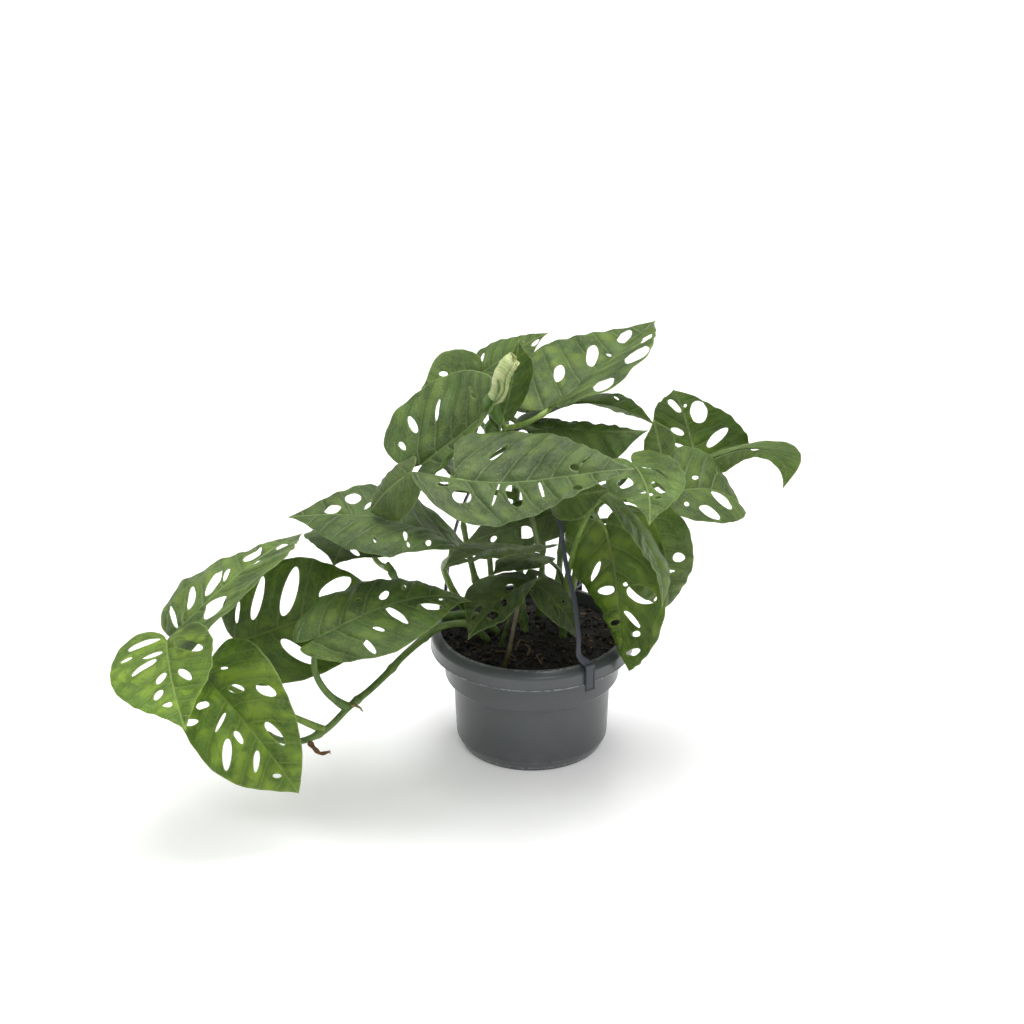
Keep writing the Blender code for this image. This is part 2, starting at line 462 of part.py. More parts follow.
def half_outline(leaf, k, n):
    """Half of the blade's edge, base to tip: k 0 is left, 1 is right."""
    length, w = leaf["length"], leaf["wide"][k]
    lb = leaf["lobe"][k] * length
    xm = leaf["widest"][k] * length
    ly = leaf["lobe_at"][k]
    fl = leaf["full"][k]
    p1 = (-lb, ly * w, 0)
    p2 = (xm, w, 0)
    s1 = bezier((0, 0, 0), (-0.55 * lb, 0.07 * ly * w, 0),
                (-lb, 0.38 * ly * w, 0), p1, n[0])
    s2 = bezier(p1, (-lb + max(0, 0.5 - fl) * 0.5 * length,
                     (ly + (1 - ly) * 0.52 * fl) * w, 0),
                (xm - (xm + lb) * 0.45, w, 0), p2, n[1])
    s3 = bezier(p2, (xm + (length - xm) * 0.5, w, 0),
                (length * 0.80, 0.16 * w, 0), (length, 0, 0), n[2])
    side = 1 if k == 0 else -1
    return [Vector((q.x, q.y * side)) for q in s1 + s2[1:] + s3[1:]]


def on_blade(leaf, frames, x, y):
    """The point of the bent, folded blade at x along and y across (mm)."""
    n = len(frames) - 1
    f = min(max(x / leaf["length"] * n, 0.0), n - 1e-6)
    i = int(f)
    w = f - i
    a, b = frames[i], frames[i + 1]
    p, left, up = (a[j] * (1 - w) + b[j] * w for j in (0, 2, 3))
    if x < 0:
        p = p + frames[0][1] * x
    k = 0 if y >= 0 else 1
    wide = leaf["wide"][k]
    fold = math.radians(leaf["fold"][k])
    curl = math.radians(leaf["curl"][k])
    if abs(curl) < 1e-3:
        curl = 1e-3
    s = abs(y)
    yy = wide / curl * (math.sin(fold + curl * s / wide) - math.sin(fold))
    hh = wide / curl * (math.cos(fold) - math.cos(fold + curl * s / wide))
    return p + left * (yy if y >= 0 else -yy) + up * hh


def inside(p, poly):
    c = False
    for a, b in zip(poly, poly[1:] + poly[:1]):
        if (a.y > p.y) != (b.y > p.y) and \
                p.x < (b.x - a.x) * (p.y - a.y) / (b.y - a.y) + a.x:
            c = not c
    return c


def hole_outline(hole, n):
    along, across, long, short, slant = hole
    s = math.radians(slant)
    out = []
    for i in range(n):
        a = 2 * math.pi * i / n
        u, v = long / 2 * math.cos(a), short / 2 * math.sin(a)
        out.append(Vector((along + u * math.cos(s) - v * math.sin(s),
                           across + u * math.sin(s) + v * math.cos(s))))
    return out


def near_edge(p, loops):
    d = 1e9
    for loop in loops:
        for a, b in zip(loop, loop[1:] + loop[:1]):
            ab = b - a
            t = min(1, max(0, (p - a).dot(ab) / max(ab.dot(ab), 1e-9)))
            d = min(d, (p - a - ab * t).length)
    return d


def blade(leaf):
    """The blade as a thin closed solid, bent and perforated."""
    frames = midrib(leaf)
    big = leaf["length"] > 80
    cuts = (2, 4, 6) if big else (2, 3, 5)
    edge = half_outline(leaf, 0, cuts) + half_outline(leaf, 1, cuts)[-2:0:-1]
    holes = [hole_outline(h, 6) for h in leaf["holes"] if h[3] >= 4.5]
    holes = [h for h in holes if all(inside(p, edge) for p in h)
             and min(near_edge(p, [edge]) for p in h) > 1.0]
    loops = [edge] + holes
    step = 17.0 if big else 13.0
    pts = [p for loop in loops for p in loop]
    spare = []
    x = step * 0.5
    while x < leaf["length"]:
        y = -step * 4
        while y <= step * 4:
            p = Vector((x, y + (0.01 if y else 0.0)))
            if inside(p, edge) and not any(inside(p, h) for h in holes) \
                    and near_edge(p, loops) > step * 0.34:
                spare.append(p)
            y += step
        x += step
    segs = []
    k = 0
    for loop in loops:
        segs += [(k + i, k + (i + 1) % len(loop)) for i in range(len(loop))]
        k += len(loop)
    pts += spare
    verts, _, faces, *_ = delaunay_2d_cdt(pts, segs, [], 0, 1e-4)
    bm = bmesh.new()
    vs = [bm.verts.new(on_blade(leaf, frames, v.x, v.y) * MM) for v in verts]
    for f in faces:
        c = sum((verts[i] for i in f), Vector((0, 0))) / len(f)
        if inside(c, edge) and not any(inside(c, h) for h in holes):
            a, b, d = (verts[i] for i in f[:3])
            area = (b - a).x * (d - a).y - (b - a).y * (d - a).x
            if abs(area) > 1e-3:
                bm.faces.new([vs[i] for i in (f if area > 0 else f[::-1])])
    bmesh.ops.delete(bm, geom=[v for v in bm.verts if not v.link_faces],
                     context="VERTS")
    mesh = bpy.data.meshes.new("blade")
    bm.to_mesh(mesh)
    bm.free()
    ob = bpy.data.objects.new("blade", mesh)
    bpy.context.scene.collection.objects.link(ob)
    mod = ob.modifiers.new("thick", "SOLIDIFY")
    mod.thickness = LEAF_THICK * MM
    mod.offset = 0.0
    return baked(ob), frames


def off_line(p, line):
    d = 1e9
    for a, b in zip(line, line[1:]):
        ab = b - a
        t = min(1, max(0, (p - a).dot(ab) / max(ab.dot(ab), 1e-9)))
        d = min(d, (p - a - ab * t).length)
    return d


def stalk(leaf, frames):
    """The petiole: under the base of the blade, then down to its stem."""
    anchor, r, c1, c2, end = leaf["stalk"]
    p, t, left, up = frames[0]
    under = p - up * (0.9 * r)
    n = 8 if (under - Vector(end)).length < 60 else 14
    path = bezier(under, c1, c2, end, n)
    if anchor in STEM_PATHS:
        line, rs = STEM_PATHS[anchor]
        fine = bezier(under, c1, c2, end, 80)
        k = 6
        while k < 79 and off_line(fine[k + 1], line) > rs + 1.25 * r + 0.4:
            k += 1
        stop = k / 80
        path = [fine[round(stop * 80 * i / n)] for i in range(n + 1)]
    else:
        on_soil(path, 1.25 * r)
    path = [under + t * 9 + up * (0.2 * r)] + path
    radii = [0.6 * r] + [r * (1 + 0.25 * i / n) for i in range(n + 1)]
    return tube(path, radii, 1)


def soil_z(x, y):
    r = min(1.0, math.hypot(x, y) / 76.0)
    return SOIL_MID_Z + (SOIL_EDGE_Z - SOIL_MID_Z) * r * r


def on_soil(path, r):
    """Sets the last point of path so that its end just clears the soil."""
    d = (path[-1] - path[-2]).normalized()
    path[-1].z = soil_z(path[-1].x, path[-1].y) + GAP + 0.3 \
        + r * math.sqrt(max(0.0, 1 - d.z * d.z))


# -------------------------------------------------------------------- build
clear_scene()
PARTS = collection("monstera_adansonii_in_pot")
ORIGIN = bpy.data.objects.new("pot_base_centre", None)
PARTS.objects.link(ORIGIN)

GREY = (0.092, 0.097, 0.103)
STRAP = (0.060, 0.070, 0.085)
GREEN = (0.10, 0.20, 0.05)
STEM = (0.14, 0.24, 0.08)

# pot: thin wall, foot, ledge, shoulder and a turned-down rim band
outer = [(POT_LIP_IN_R, POT_LIP_Z - 1.0), (POT_LIP_IN_R + 1.0, POT_LIP_Z),
         (80.0, POT_LIP_Z - 0.9), (83.6, POT_RIM_BAND_Z + 1.6),
         (POT_RIM_R, POT_RIM_BAND_Z - 0.6), (POT_RIM_R, 91.6),
         (POT_RIM_R + 0.4, 90.6), (POT_RIM_R + 0.2, POT_RIM_UNDER_Z),
         (POT_RIM_R - 1.2, POT_RIM_UNDER_Z), (POT_RIM_R - 1.4, 99.6),
         (80.0, 102.2), (78.2, 100.5), (77.8, 92.5),
         (POT_SHOULDER_R, 88.0), (POT_SHOULDER_R - 0.8, POT_LEDGE_Z + 3),
         (POT_SHOULDER_R - 2.2, POT_LEDGE_Z + 1.2),
         (POT_BODY_TOP_R, POT_LEDGE_Z), (63.6, 9.0), (60.2, 3.0),
         (POT_FOOT_R - 0.8, 0.0), (0.0, 0.0)]
inner = [(0.0, POT_FLOOR), (58.6, POT_FLOOR), (62.2, 9.5),
         (POT_BODY_TOP_R - POT_WALL, POT_LEDGE_Z + 1.2),
         (POT_SHOULDER_R - 2.6, POT_LEDGE_Z + 3.6),
         (POT_SHOULDER_R - POT_WALL, 88.6), (POT_LIP_IN_R - 0.1, 93.2)]
pot = turned(inner + outer, 40)
for i in range(DRAIN_HOLES):
    a = 2 * math.pi * (i + 0.47) / DRAIN_HOLES
    bm = bmesh.new()
    bmesh.ops.create_cone(bm, cap_ends=True, segments=8, radius1=DRAIN_R * MM,
                          radius2=DRAIN_R * MM, depth=8 * MM)
    bmesh.ops.translate(bm, verts=bm.verts,
                        vec=Vector((42 * math.cos(a), 42 * math.sin(a), 1)) * MM)
    drill = bpy.data.meshes.new("drill")
    bm.to_mesh(drill)
    bm.free()
    pot = boolean(pot, drill, "DIFFERENCE")
place("pot", pot, GREY, 0.45)

# soil: fills the pot to a little under the lip
soil = [(0.0, SOIL_MID_Z)]
for i in range(1, 5):
    r = 75.6 * i / 4
    soil.append((r, SOIL_MID_Z + (SOIL_EDGE_Z - SOIL_MID_Z) * (r / 76) ** 2))
soil += [(POT_LIP_IN_R - 0.1 - GAP, 93.2)]
soil += [(POT_SHOULDER_R - POT_WALL - GAP - 0.2, 88.4),
         (POT_SHOULDER_R - 2.6 - GAP - 0.2, POT_LEDGE_Z + 4.2),
         (POT_BODY_TOP_R - POT_WALL - GAP - 0.2, POT_LEDGE_Z + 2.0),
         (62.2 - GAP - 0.2, 9.8), (58.6 - GAP - 0.3, POT_FLOOR + GAP + 0.1),
         (0.0, POT_FLOOR + GAP)]
place("soil", turned(soil, 32), (0.012, 0.009, 0.006), 0.95)

# stems
STEM_PATHS = {}
for name, r, pts in STEMS:
    line = smooth_path(pts, 2)
    line.reverse()
    on_soil(line, r)
    line.reverse()
    STEM_PATHS[name] = (line, r)
    radii = [r * (1.0 - 0.25 * i / (len(line) - 1)) for i in range(len(line))]
    place(name, tube(line, radii, 1), STEM, 0.5)

# the plastic hanger: three straps with clips over the rim, a hub and a hook
for name, pts in STRAPS:
    line = smooth_path(pts, 1)
    strap = tube(line, [1.7] * len(line), 1)
    turn = math.atan2(pts[0][1], pts[0][0])
    bridge = box((13.0, 9.0, 2.2), (81.5, 0, POT_LIP_Z + GAP + 1.4), turn)
    plate = box((2.0, 8.6, 24.4), (86.9, 0, 96.1), turn)
    clip = boolean(bridge, plate, "UNION")
    place(name, boolean(clip, strap, "UNION"), STRAP, 0.4)
bm = bmesh.new()
bmesh.ops.create_cone(bm, cap_ends=True, segments=16, radius1=5 * MM,
                      radius2=4.4 * MM, depth=7 * MM)
bmesh.ops.translate(bm, verts=bm.verts, vec=Vector(HUB) * MM)
hub = bpy.data.meshes.new("hub")
bm.to_mesh(hub)
bm.free()
hook_line = smooth_path(HOOK, 2)
hub = boolean(hub, tube(hook_line, [1.9] * len(hook_line), 1), "UNION")
place("hanger_hub_and_hook", hub, STRAP, 0.4)

# leaves
for leaf in LEAVES:
    solid, frames = blade(leaf)
    solid = boolean(solid, stalk(leaf, frames), "UNION")
    place(leaf["name"], solid, GREEN, 0.45)

# the rolled new leaf at the top, on its own stalk
roll = smooth_path(ROLLED, 2)
radii = [0.5 * (ROLLED_R[i // 2] + ROLLED_R[(i + 1) // 2])
         for i in range(len(roll))]
place("leaf_new_rolled", tube(roll, radii, 2), (0.35, 0.45, 0.16), 0.4)

# dried sheath and aerial root on the trailing vine
for name, r, pts in SMALL:
    line = smooth_path(pts, 2)
    radii = [r * (1.0 - 0.6 * i / (len(line) - 1)) for i in range(len(line))]
    place(name, tube(line, radii, 1), (0.10, 0.05, 0.025), 0.8)
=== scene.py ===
"""Looks of the monstera adansonii in its hanging pot: fine blades, stalks,
stems, soil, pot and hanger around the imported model, plus camera and lights."""
import math
import random

import bpy
import bmesh
import numpy as np
from mathutils import Vector, Matrix, noise
from mathutils.geometry import delaunay_2d_cdt


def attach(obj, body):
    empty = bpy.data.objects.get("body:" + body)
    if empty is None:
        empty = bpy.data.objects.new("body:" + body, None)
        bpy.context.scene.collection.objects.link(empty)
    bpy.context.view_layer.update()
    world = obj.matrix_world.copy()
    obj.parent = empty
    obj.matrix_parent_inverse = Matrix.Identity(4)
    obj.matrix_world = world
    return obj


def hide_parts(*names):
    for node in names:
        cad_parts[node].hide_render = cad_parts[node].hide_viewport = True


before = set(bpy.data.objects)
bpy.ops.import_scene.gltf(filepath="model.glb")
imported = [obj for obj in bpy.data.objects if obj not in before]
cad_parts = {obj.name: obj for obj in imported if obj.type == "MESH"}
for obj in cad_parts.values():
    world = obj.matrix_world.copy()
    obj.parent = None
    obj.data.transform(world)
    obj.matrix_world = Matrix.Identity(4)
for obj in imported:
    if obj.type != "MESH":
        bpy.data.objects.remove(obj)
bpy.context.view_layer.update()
MM = 0.001

# ------------------------------------------------------------------ camera
cam_data = bpy.data.cameras.new("camera")
cam_data.sensor_width = 36.0
cam_data.lens = 4105.0 / 1024.0 * 36.0
cam_data.clip_end = 50.0
cam = bpy.data.objects.new("camera", cam_data)
cam.location = (-0.01677, -3.05127, 1.71443)
cam.rotation_euler = (math.radians(63.8), 0.0, 0.0)
bpy.context.scene.collection.objects.link(cam)
bpy.context.scene.camera = cam

# ---------------------------------------------------------------- pot (mm)
POT_FOOT_R = 59.7
POT_BODY_TOP_R = 66.0
POT_LEDGE_Z = 62.0
POT_SHOULDER_R = 74.0
POT_RIM_R = 85.0
POT_RIM_UNDER_Z = 89.5
POT_RIM_BAND_Z = 101.0
POT_LIP_Z = 106.0
POT_LIP_IN_R = 76.3
POT_WALL = 1.4
POT_FLOOR = 1.8
SOIL_EDGE_Z = 94.5
SOIL_MID_Z = 97.5

LEAVES = [
    dict(name="leaf_vine_end_low",
         base=(-294, -140, 167), aim=(-85, 0, -16), length=122,
         wide=(42, 48), lobe=(0.06, 0.15), widest=(0.37, 0.33), lobe_at=(0.46, 0.32), full=(1.06, 0.95),
         bend=(15, -1), side=7, twist=-4, fold=(8, 10), curl=(16, -3),
         holes=[(2, -18, 28, 9.5, -68), (7, -17, 2, 1.5, -59), (21, -12, 17, 4.5, -71),
                (35, -20, 27, 6.5, -50), (21, -33, 11, 3, -58), (53, -8, 15, 6, -31),
                (72, -13, 13, 6, -32), (88, -8, 9, 7.5, 26), (28, 20, 38, 9, 38),
                (60, 12, 23, 6.5, 22)],
         stalk=("stem_left_trailing", 2.1, (-332, -72, 129), (-206, -121, 90), (-170, -112, 69))),
    dict(name="leaf_vine_end_high",
         base=(-293, -112, 155.5), aim=(17, 43, -15), length=154,
         wide=(59, 59), lobe=(0.02, 0.10), widest=(0.30, 0.37), lobe_at=(0.32, 0.42), full=(0.92, 1.00),
         bend=(24, 26), side=38, twist=13, fold=(-6, 7), curl=(-17, 32),
         holes=[(35, 21, 31, 7, 54), (58, 13, 32, 10, 29), (70, 9, 17, 4.5, 37),
                (102, 11, 22, 12.5, 7), (119, -7, 10, 11, -56), (12, 18, 33, 4.5, 79),
                (41, -20, 23, 21, -30), (93, -5, 8, 7, -27)],
         stalk=("stem_left_trailing", 2.1, (-298, -113, 149), (-291, -103, 146), (-273, -100, 124))),
    dict(name="leaf_vine_hanging",
         base=(-262.5, -134.5, 128), aim=(-57, -7, -28), length=137,
         wide=(49, 46), lobe=(0.09, 0.09), widest=(0.15, 0.41), lobe_at=(0.55, 0.40), full=(1.01, 0.95),
         bend=(33, 74), side=-3, twist=-6, fold=(24, 13), curl=(-7, -14),
         holes=[(8, 17, 8, 2.5, 36), (29, 13, 15, 6.5, 38), (47, 31, 17, 8, 31),
                (75, 14, 22, 7.5, 3), (21, -18, 11, 7.5, 46), (26, -34, 13, 6, 49),
                (42, -16, 18, 3, -63), (60, -12, 12, 5, -7), (65, -28, 25, 7, -43),
                (83, -13, 17, 5, -44), (104, -6, 8, 3.5, 45)],
         stalk=("stem_left_trailing", 2.1, (-264, -122, 112), (-259, -132, 111), (-254, -113, 105))),
    dict(name="leaf_vine_inner",
         base=(-240, -68.5, 128.5), aim=(-16, 26, -69), length=144,
         wide=(54, 50), lobe=(0.07, 0.10), widest=(0.32, 0.38), lobe_at=(0.40, 0.42), full=(1.00, 1.00),
         bend=(24, 84), side=10, twist=1, fold=(6, 17), curl=(-24, -4),
         holes=[(6, 23, 18, 3.5, 66), (27, 29, 37, 8, 57), (55, 25, 42, 11.5, 53),
                (93, 14, 34, 13, 9), (44, -25, 35, 9, -58), (14, -21, 19, 8.5, -58),
                (84, -19, 18, 8.5, -58)],
         stalk=("stem_left_trailing", 2.1, (-267, -59, 109), (-259, -91, 121), (-266, -105, 117))),
    dict(name="leaf_vine_front",
         base=(-170, -114, 158.5), aim=(15, 23, -17), length=137,
         wide=(48, 49), lobe=(0.17, 0.16), widest=(0.15, 0.33), lobe_at=(0.18, 0.06), full=(0.83, 0.72),
         bend=(6, 54), side=4, twist=11, fold=(1, 5), curl=(-22, -20),
         holes=[(39, 17, 6, 3.5, -50), (60, 14, 12, 6.5, 43), (78, 16, 7, 3.5, 68),
                (60, -16, 28, 5, -71), (88, -16, 20, 9.5, -11), (101, -9, 5, 3, 3),
                (42, -22, 11, 3, -50), (29, -35, 17, 5, -77)],
         stalk=("stem_left_trailing", 2.7, (-184, -116, 138), (-180, -114, 108), (-152, -97, 82))),
    dict(name="leaf_left_long",
         base=(-63, -59, 210), aim=(167, 33, -27), length=146,
         wide=(59, 56), lobe=(0.02, 0.10), widest=(0.33, 0.32), lobe_at=(0.16, 0.42), full=(0.77, 1.00),
         bend=(35, 13), side=-10, twist=45, fold=(9, 5), curl=(-39, 6),
         holes=[(94, -22, 13, 13, 61), (107, -5, 14, 7.5, 7), (80, -16, 12, 3, 78),
                (22, 38, 9, 4, -86), (41, 33, 14, 3, -76), (36, 46, 9, 2, -72),
                (63, 41, 10, 2, -70)],
         stalk=("soil", 2.7, (-66, -52, 188), (-90, 6, 172), (-50, 26, 99))),
    dict(name="leaf_left_under",
         base=(-137, 20.5, 188), aim=(-114, 26, -4), length=88,
         wide=(42, 42), lobe=(0.10, 0.10), widest=(0.38, 0.38), lobe_at=(0.42, 0.42), full=(1.00, 1.00),
         bend=(19, 31), side=12, twist=8, fold=(-5, 6), curl=(-24, -28),
         holes=[(9, 17, 16, 5, 58), (37, 20, 18, 5, 58), (64, 12, 11, 5, 58),
                (9, -17, 16, 5, -58), (37, -20, 19, 5, -58)],
         stalk=("stem_left_short", 2.1, (-135, 24, 159), (-131, 5, 162), (-119, -15, 169))),
    dict(name="leaf_left_small",
         base=(-98.5, -70.5, 283.5), aim=(166, -39, 41), length=63,
         wide=(29, 27), lobe=(0.09, 0.10), widest=(0.37, 0.36), lobe_at=(0.42, 0.42), full=(1.02, 1.00),
         bend=(14, 23), side=-1, twist=3, fold=(0, 0), curl=(-30, -56),
         holes=[],
         stalk=("stem_centre", 1.2, (-70, -74, 249), (-45, -1, 265), (-18, 35, 256))),
    dict(name="leaf_upper_left",
         base=(-90, -16.5, 265), aim=(-1, 42, -36), length=123,
         wide=(59, 57), lobe=(0.18, 0.10), widest=(0.25, 0.34), lobe_at=(0.57, 0.42), full=(1.18, 1.00),
         bend=(0, -60), side=-18, twist=15, fold=(14, 17), curl=(-18, 46),
         holes=[(9, 34, 17, 5.5, 90), (-7, 24, 10, 4.5, -77), (33, 31, 18, 3.5, 59),
                (70, 27, 7, 2.5, -75), (70, 19, 7, 2, -61), (52, -26, 24, 7, -58)],
         stalk=("stem_centre", 2.1, (-92, -9, 229), (-33, 29, 223), (-13, 34, 210))),
    dict(name="leaf_top_left_small",
         base=(-43.5, 79.5, 304.5), aim=(-134, 17, 45), length=62,
         wide=(22, 23), lobe=(0.10, 0.12), widest=(0.36, 0.40), lobe_at=(0.42, 0.48), full=(1.00, 1.08),
         bend=(17, 24), side=7, twist=-7, fold=(8, 13), curl=(-20, -16),
         holes=[(38, -4, 8, 4.5, -16), (6, 9, 8, 3.5, 58), (26, 10, 10, 3.5, 58),
                (45, 6, 6, 3.5, 58)],
         stalk=("stem_centre", 1.7, (-36, 89, 286), (-20, 46, 279), (-21, 29, 276))),
    dict(name="leaf_top_back",
         base=(-53.5, 97.5, 285), aim=(3, 43, -28), length=82,
         wide=(29, 30), lobe=(0.10, 0.15), widest=(0.33, 0.31), lobe_at=(0.41, 0.51), full=(0.99, 1.09),
         bend=(15, 12), side=4, twist=12, fold=(4, 6), curl=(-30, -20),
         holes=[(67, -5, 9, 4.5, 28), (21, 14, 13, 5, 58), (8, -12, 11, 5, -58),
                (34, -13, 12, 5, -58)],
         stalk=("stem_centre", 2.1, (-56, 102, 260), (-35, 40, 260), (-18, 32, 256))),
    dict(name="leaf_young_half_open",
         base=(-24, -3, 301.5), aim=(-8, 76, -149), length=72,
         wide=(26, 26), lobe=(0.10, 0.09), widest=(0.39, 0.39), lobe_at=(0.42, 0.41), full=(0.99, 0.98),
         bend=(2, 6), side=4, twist=16, fold=(8, 7), curl=(-19, -20),
         holes=[(30, 12, 11, 4, 58)],
         stalk=("stem_centre", 1.7, (-17, -2, 256), (-15, 7, 233), (-14, 34, 221))),
    dict(name="leaf_top_right",
         base=(12.5, 9, 303.5), aim=(40, 15, 4), length=149,
         wide=(67, 66), lobe=(0.10, 0.02), widest=(0.32, 0.25), lobe_at=(0.42, 0.40), full=(1.00, 1.01),
         bend=(-2, 10), side=21, twist=5, fold=(15, 29), curl=(-14, -19),
         holes=[(39, 24, 24, 9, 38), (74, 16, 30, 10, 33), (112, 9, 23, 9.5, 11),
                (82, 5, 4, 4, 68), (93, -35, 22, 9, 33), (68, -47, 22, 20.5, 44),
                (28, -49, 21, 16.5, 55)],
         stalk=("stem_centre", 2.1, (-15, -14, 289), (-29, 15, 286), (-23, 28, 281))),
    dict(name="leaf_arched",
         base=(-2, 44, 284), aim=(4, 18, 4), length=110,
         wide=(40, 41), lobe=(0.10, 0.10), widest=(0.38, 0.37), lobe_at=(0.42, 0.42), full=(1.00, 1.00),
         bend=(14, 47), side=0, twist=52, fold=(4, 15), curl=(-4, -23),
         holes=[(72, -13, 6, 3, 52), (11, 16, 15, 6.5, 58), (46, 19, 18, 6.5, 58),
                (11, -17, 15, 6.5, -58), (46, -19, 18, 6.5, -58)],
         stalk=("stem_centre", 2.1, (-14, 40, 276), (-7, 29, 277), (-20, 30, 270))),
    dict(name="leaf_behind_arched",
         base=(4.5, 7, 286.5), aim=(5, -3, -16), length=93,
         wide=(30, 38), lobe=(0.09, 0.10), widest=(0.34, 0.36), lobe_at=(0.41, 0.42), full=(0.98, 1.00),
         bend=(12, -20), side=1, twist=13, fold=(-14, -34), curl=(-16, -24),
         holes=[],
         stalk=("stem_centre", 2.1, (-25, 9, 291), (-1, 13, 288), (-26, 26, 290))),
    dict(name="leaf_front_large",
         base=(-60.5, -110.5, 297), aim=(-1, -12, -25), length=147,
         wide=(57, 57), lobe=(0.04, 0.25), widest=(0.21, 0.18), lobe_at=(0.51, 0.05), full=(1.01, 0.62),
         bend=(-47, 25), side=-2, twist=5, fold=(10, 11), curl=(-24, 2),
         holes=[(-8, -11, 14, 6, 20), (6, -22, 17, 15, 53), (31, 31, 23, 6, 51),
                (34, -18, 33, 2, 88), (50, -21, 35, 11.5, -68), (72, -16, 25, 2.5, -70),
                (103, -19, 13, 5.5, -43), (97, 6, 8, 5, -17), (106, 12, 9, 2.5, 19)],
         stalk=("stem_centre", 2.1, (-79, -115, 275), (-50, 14, 281), (-20, 31, 270))),
    dict(name="leaf_right_front",
         base=(80, -76, 294.5), aim=(-71, -1, 2), length=89,
         wide=(33, 31), lobe=(0.18, 0.12), widest=(0.36, 0.37), lobe_at=(0.31, 0.38), full=(1.03, 0.98),
         bend=(-2, 33), side=-21, twist=10, fold=(17, 9), curl=(-12, -44),
         holes=[(36, -16, 16, 12.5, 3), (52, -5, 6, 4.5, -53), (54, 2, 5, 2.5, 11),
                (61, 7, 6, 3.5, 81), (47, 9, 19, 6.5, 21), (24, 12, 30, 2.5, 30),
                (9, -13, 12, 5, -58)],
         stalk=("stem_right", 2.1, (73, -56, 264), (67, -12, 240), (60, 8, 232))),
    dict(name="leaf_right_upright",
         base=(106, -47.5, 282), aim=(-153, 76, 85), length=42,
         wide=(15, 15), lobe=(0.10, 0.10), widest=(0.37, 0.36), lobe_at=(0.42, 0.42), full=(1.00, 1.00),
         bend=(-3, 6), side=0, twist=2, fold=(6, 9), curl=(-21, -18),
         holes=[],
         stalk=("stem_right", 1.2, (82, -29, 290), (83, -2, 248), (60, 8, 232))),
    dict(name="leaf_right_raised",
         base=(139.5, 91, 219), aim=(-123, 68, -16), length=104,
         wide=(52, 31), lobe=(0.10, 0.10), widest=(0.29, 0.33), lobe_at=(0.42, 0.42), full=(1.01, 1.00),
         bend=(4, 25), side=3, twist=1, fold=(10, 12), curl=(-25, -18),
         holes=[(67, -7, 19, 8.5, -16), (69, 3, 5, 2.5, 13), (61, 13, 34, 14, 13),
                (30, -12, 12, 7, -53), (26, 23, 37, 8, 38), (10, -13, 12, 6, -58)],
         stalk=("stem_right", 2.1, (139, 84, 202), (53, 15, 156), (36, 4, 151))),
    dict(name="leaf_right_curled",
         base=(141, 23, 248.5), aim=(26, 12, 13), length=118,
         wide=(41, 39), lobe=(0.10, 0.10), widest=(0.32, 0.31), lobe_at=(0.42, 0.42), full=(1.01, 1.00),
         bend=(8, 110), side=21, twist=-18, fold=(6, 23), curl=(-110, 1),
         holes=[(67, 15, 10, 7, -89), (12, 17, 16, 7, 58)],
         stalk=("stem_right", 2.1, (103, 4, 233), (66, 1, 225), (57, 8, 224))),
    dict(name="leaf_right_outer",
         base=(111.5, -61, 260.5), aim=(32, -1, -24), length=102,
         wide=(41, 39), lobe=(0.10, 0.09), widest=(0.35, 0.30), lobe_at=(0.42, 0.42), full=(1.00, 1.05),
         bend=(24, 43), side=-8, twist=6, fold=(21, 8), curl=(-12, -21),
         holes=[(46, -13, 22, 18, -74), (23, -28, 20, 11.5, -37), (29, 10, 7, 3.5, 11),
                (54, 18, 5, 2.5, 35), (6, -16, 6, 4, 43), (10, 17, 16, 6, 58)],
         stalk=("stem_right", 2.1, (83, -73, 255), (63, -11, 236), (54, 7, 216))),
    dict(name="leaf_right_hanging",
         base=(60, -36.5, 214.5), aim=(-61, -52, -42), length=139,
         wide=(53, 55), lobe=(0.10, 0.13), widest=(0.36, 0.37), lobe_at=(0.42, 0.47), full=(1.00, 1.03),
         bend=(12, 39), side=-51, twist=-57, fold=(10, -4), curl=(-10, -38),
         holes=[(34, -20, 26, 4.5, -43), (52, -13, 21, 7.5, -76), (32, 19, 10, 2, 64),
                (52, 28, 31, 11.5, 84), (45, 12, 6, 3, -83), (71, 17, 23, 6, 74),
                (81, -6, 12, 4.5, -57), (81, 22, 13, 4, -67), (97, 19, 23, 5, -57),
                (107, -5, 8, 2.5, -37)],
         stalk=("stem_right", 2.1, (53, -21, 213), (52, 2, 214), (51, 6, 209))),
    dict(name="leaf_right_behind",
         base=(89.5, 8.5, 201.5), aim=(-44, -46, -23), length=96,
         wide=(34, 34), lobe=(0.10, 0.10), widest=(0.26, 0.36), lobe_at=(0.42, 0.42), full=(1.01, 1.00),
         bend=(28, 55), side=-3, twist=-3, fold=(13, 8), curl=(-21, -20),
         holes=[(42, 16, 11, 7.5, 60), (51, 6, 8, 2.5, 66), (10, -14, 13, 5.5, -58),
                (41, -16, 15, 5.5, -58), (70, -10, 9, 5.5, -58)],
         stalk=("stem_right", 2.1, (83, 19, 194), (60, 10, 202), (48, 6, 200))),
    dict(name="leaf_right_edge_on",
         base=(58.5, -68, 261), aim=(-35, -28, 30), length=108,
         wide=(39, 39), lobe=(0.10, 0.10), widest=(0.38, 0.34), lobe_at=(0.42, 0.42), full=(1.00, 1.00),
         bend=(9, 45), side=-7, twist=3, fold=(12, 6), curl=(-29, -10),
         holes=[],
         stalk=("stem_right", 2.1, (41, -62, 251), (21, -12, 143), (32, 2, 133))),
    dict(name="leaf_low_left",
         base=(-4.5, -49, 172), aim=(-145, -8, -18), length=72,
         wide=(29, 31), lobe=(0.09, 0.10), widest=(0.40, 0.37), lobe_at=(0.41, 0.42), full=(0.97, 0.98),
         bend=(16, 29), side=2, twist=31, fold=(16, 19), curl=(-13, 2),
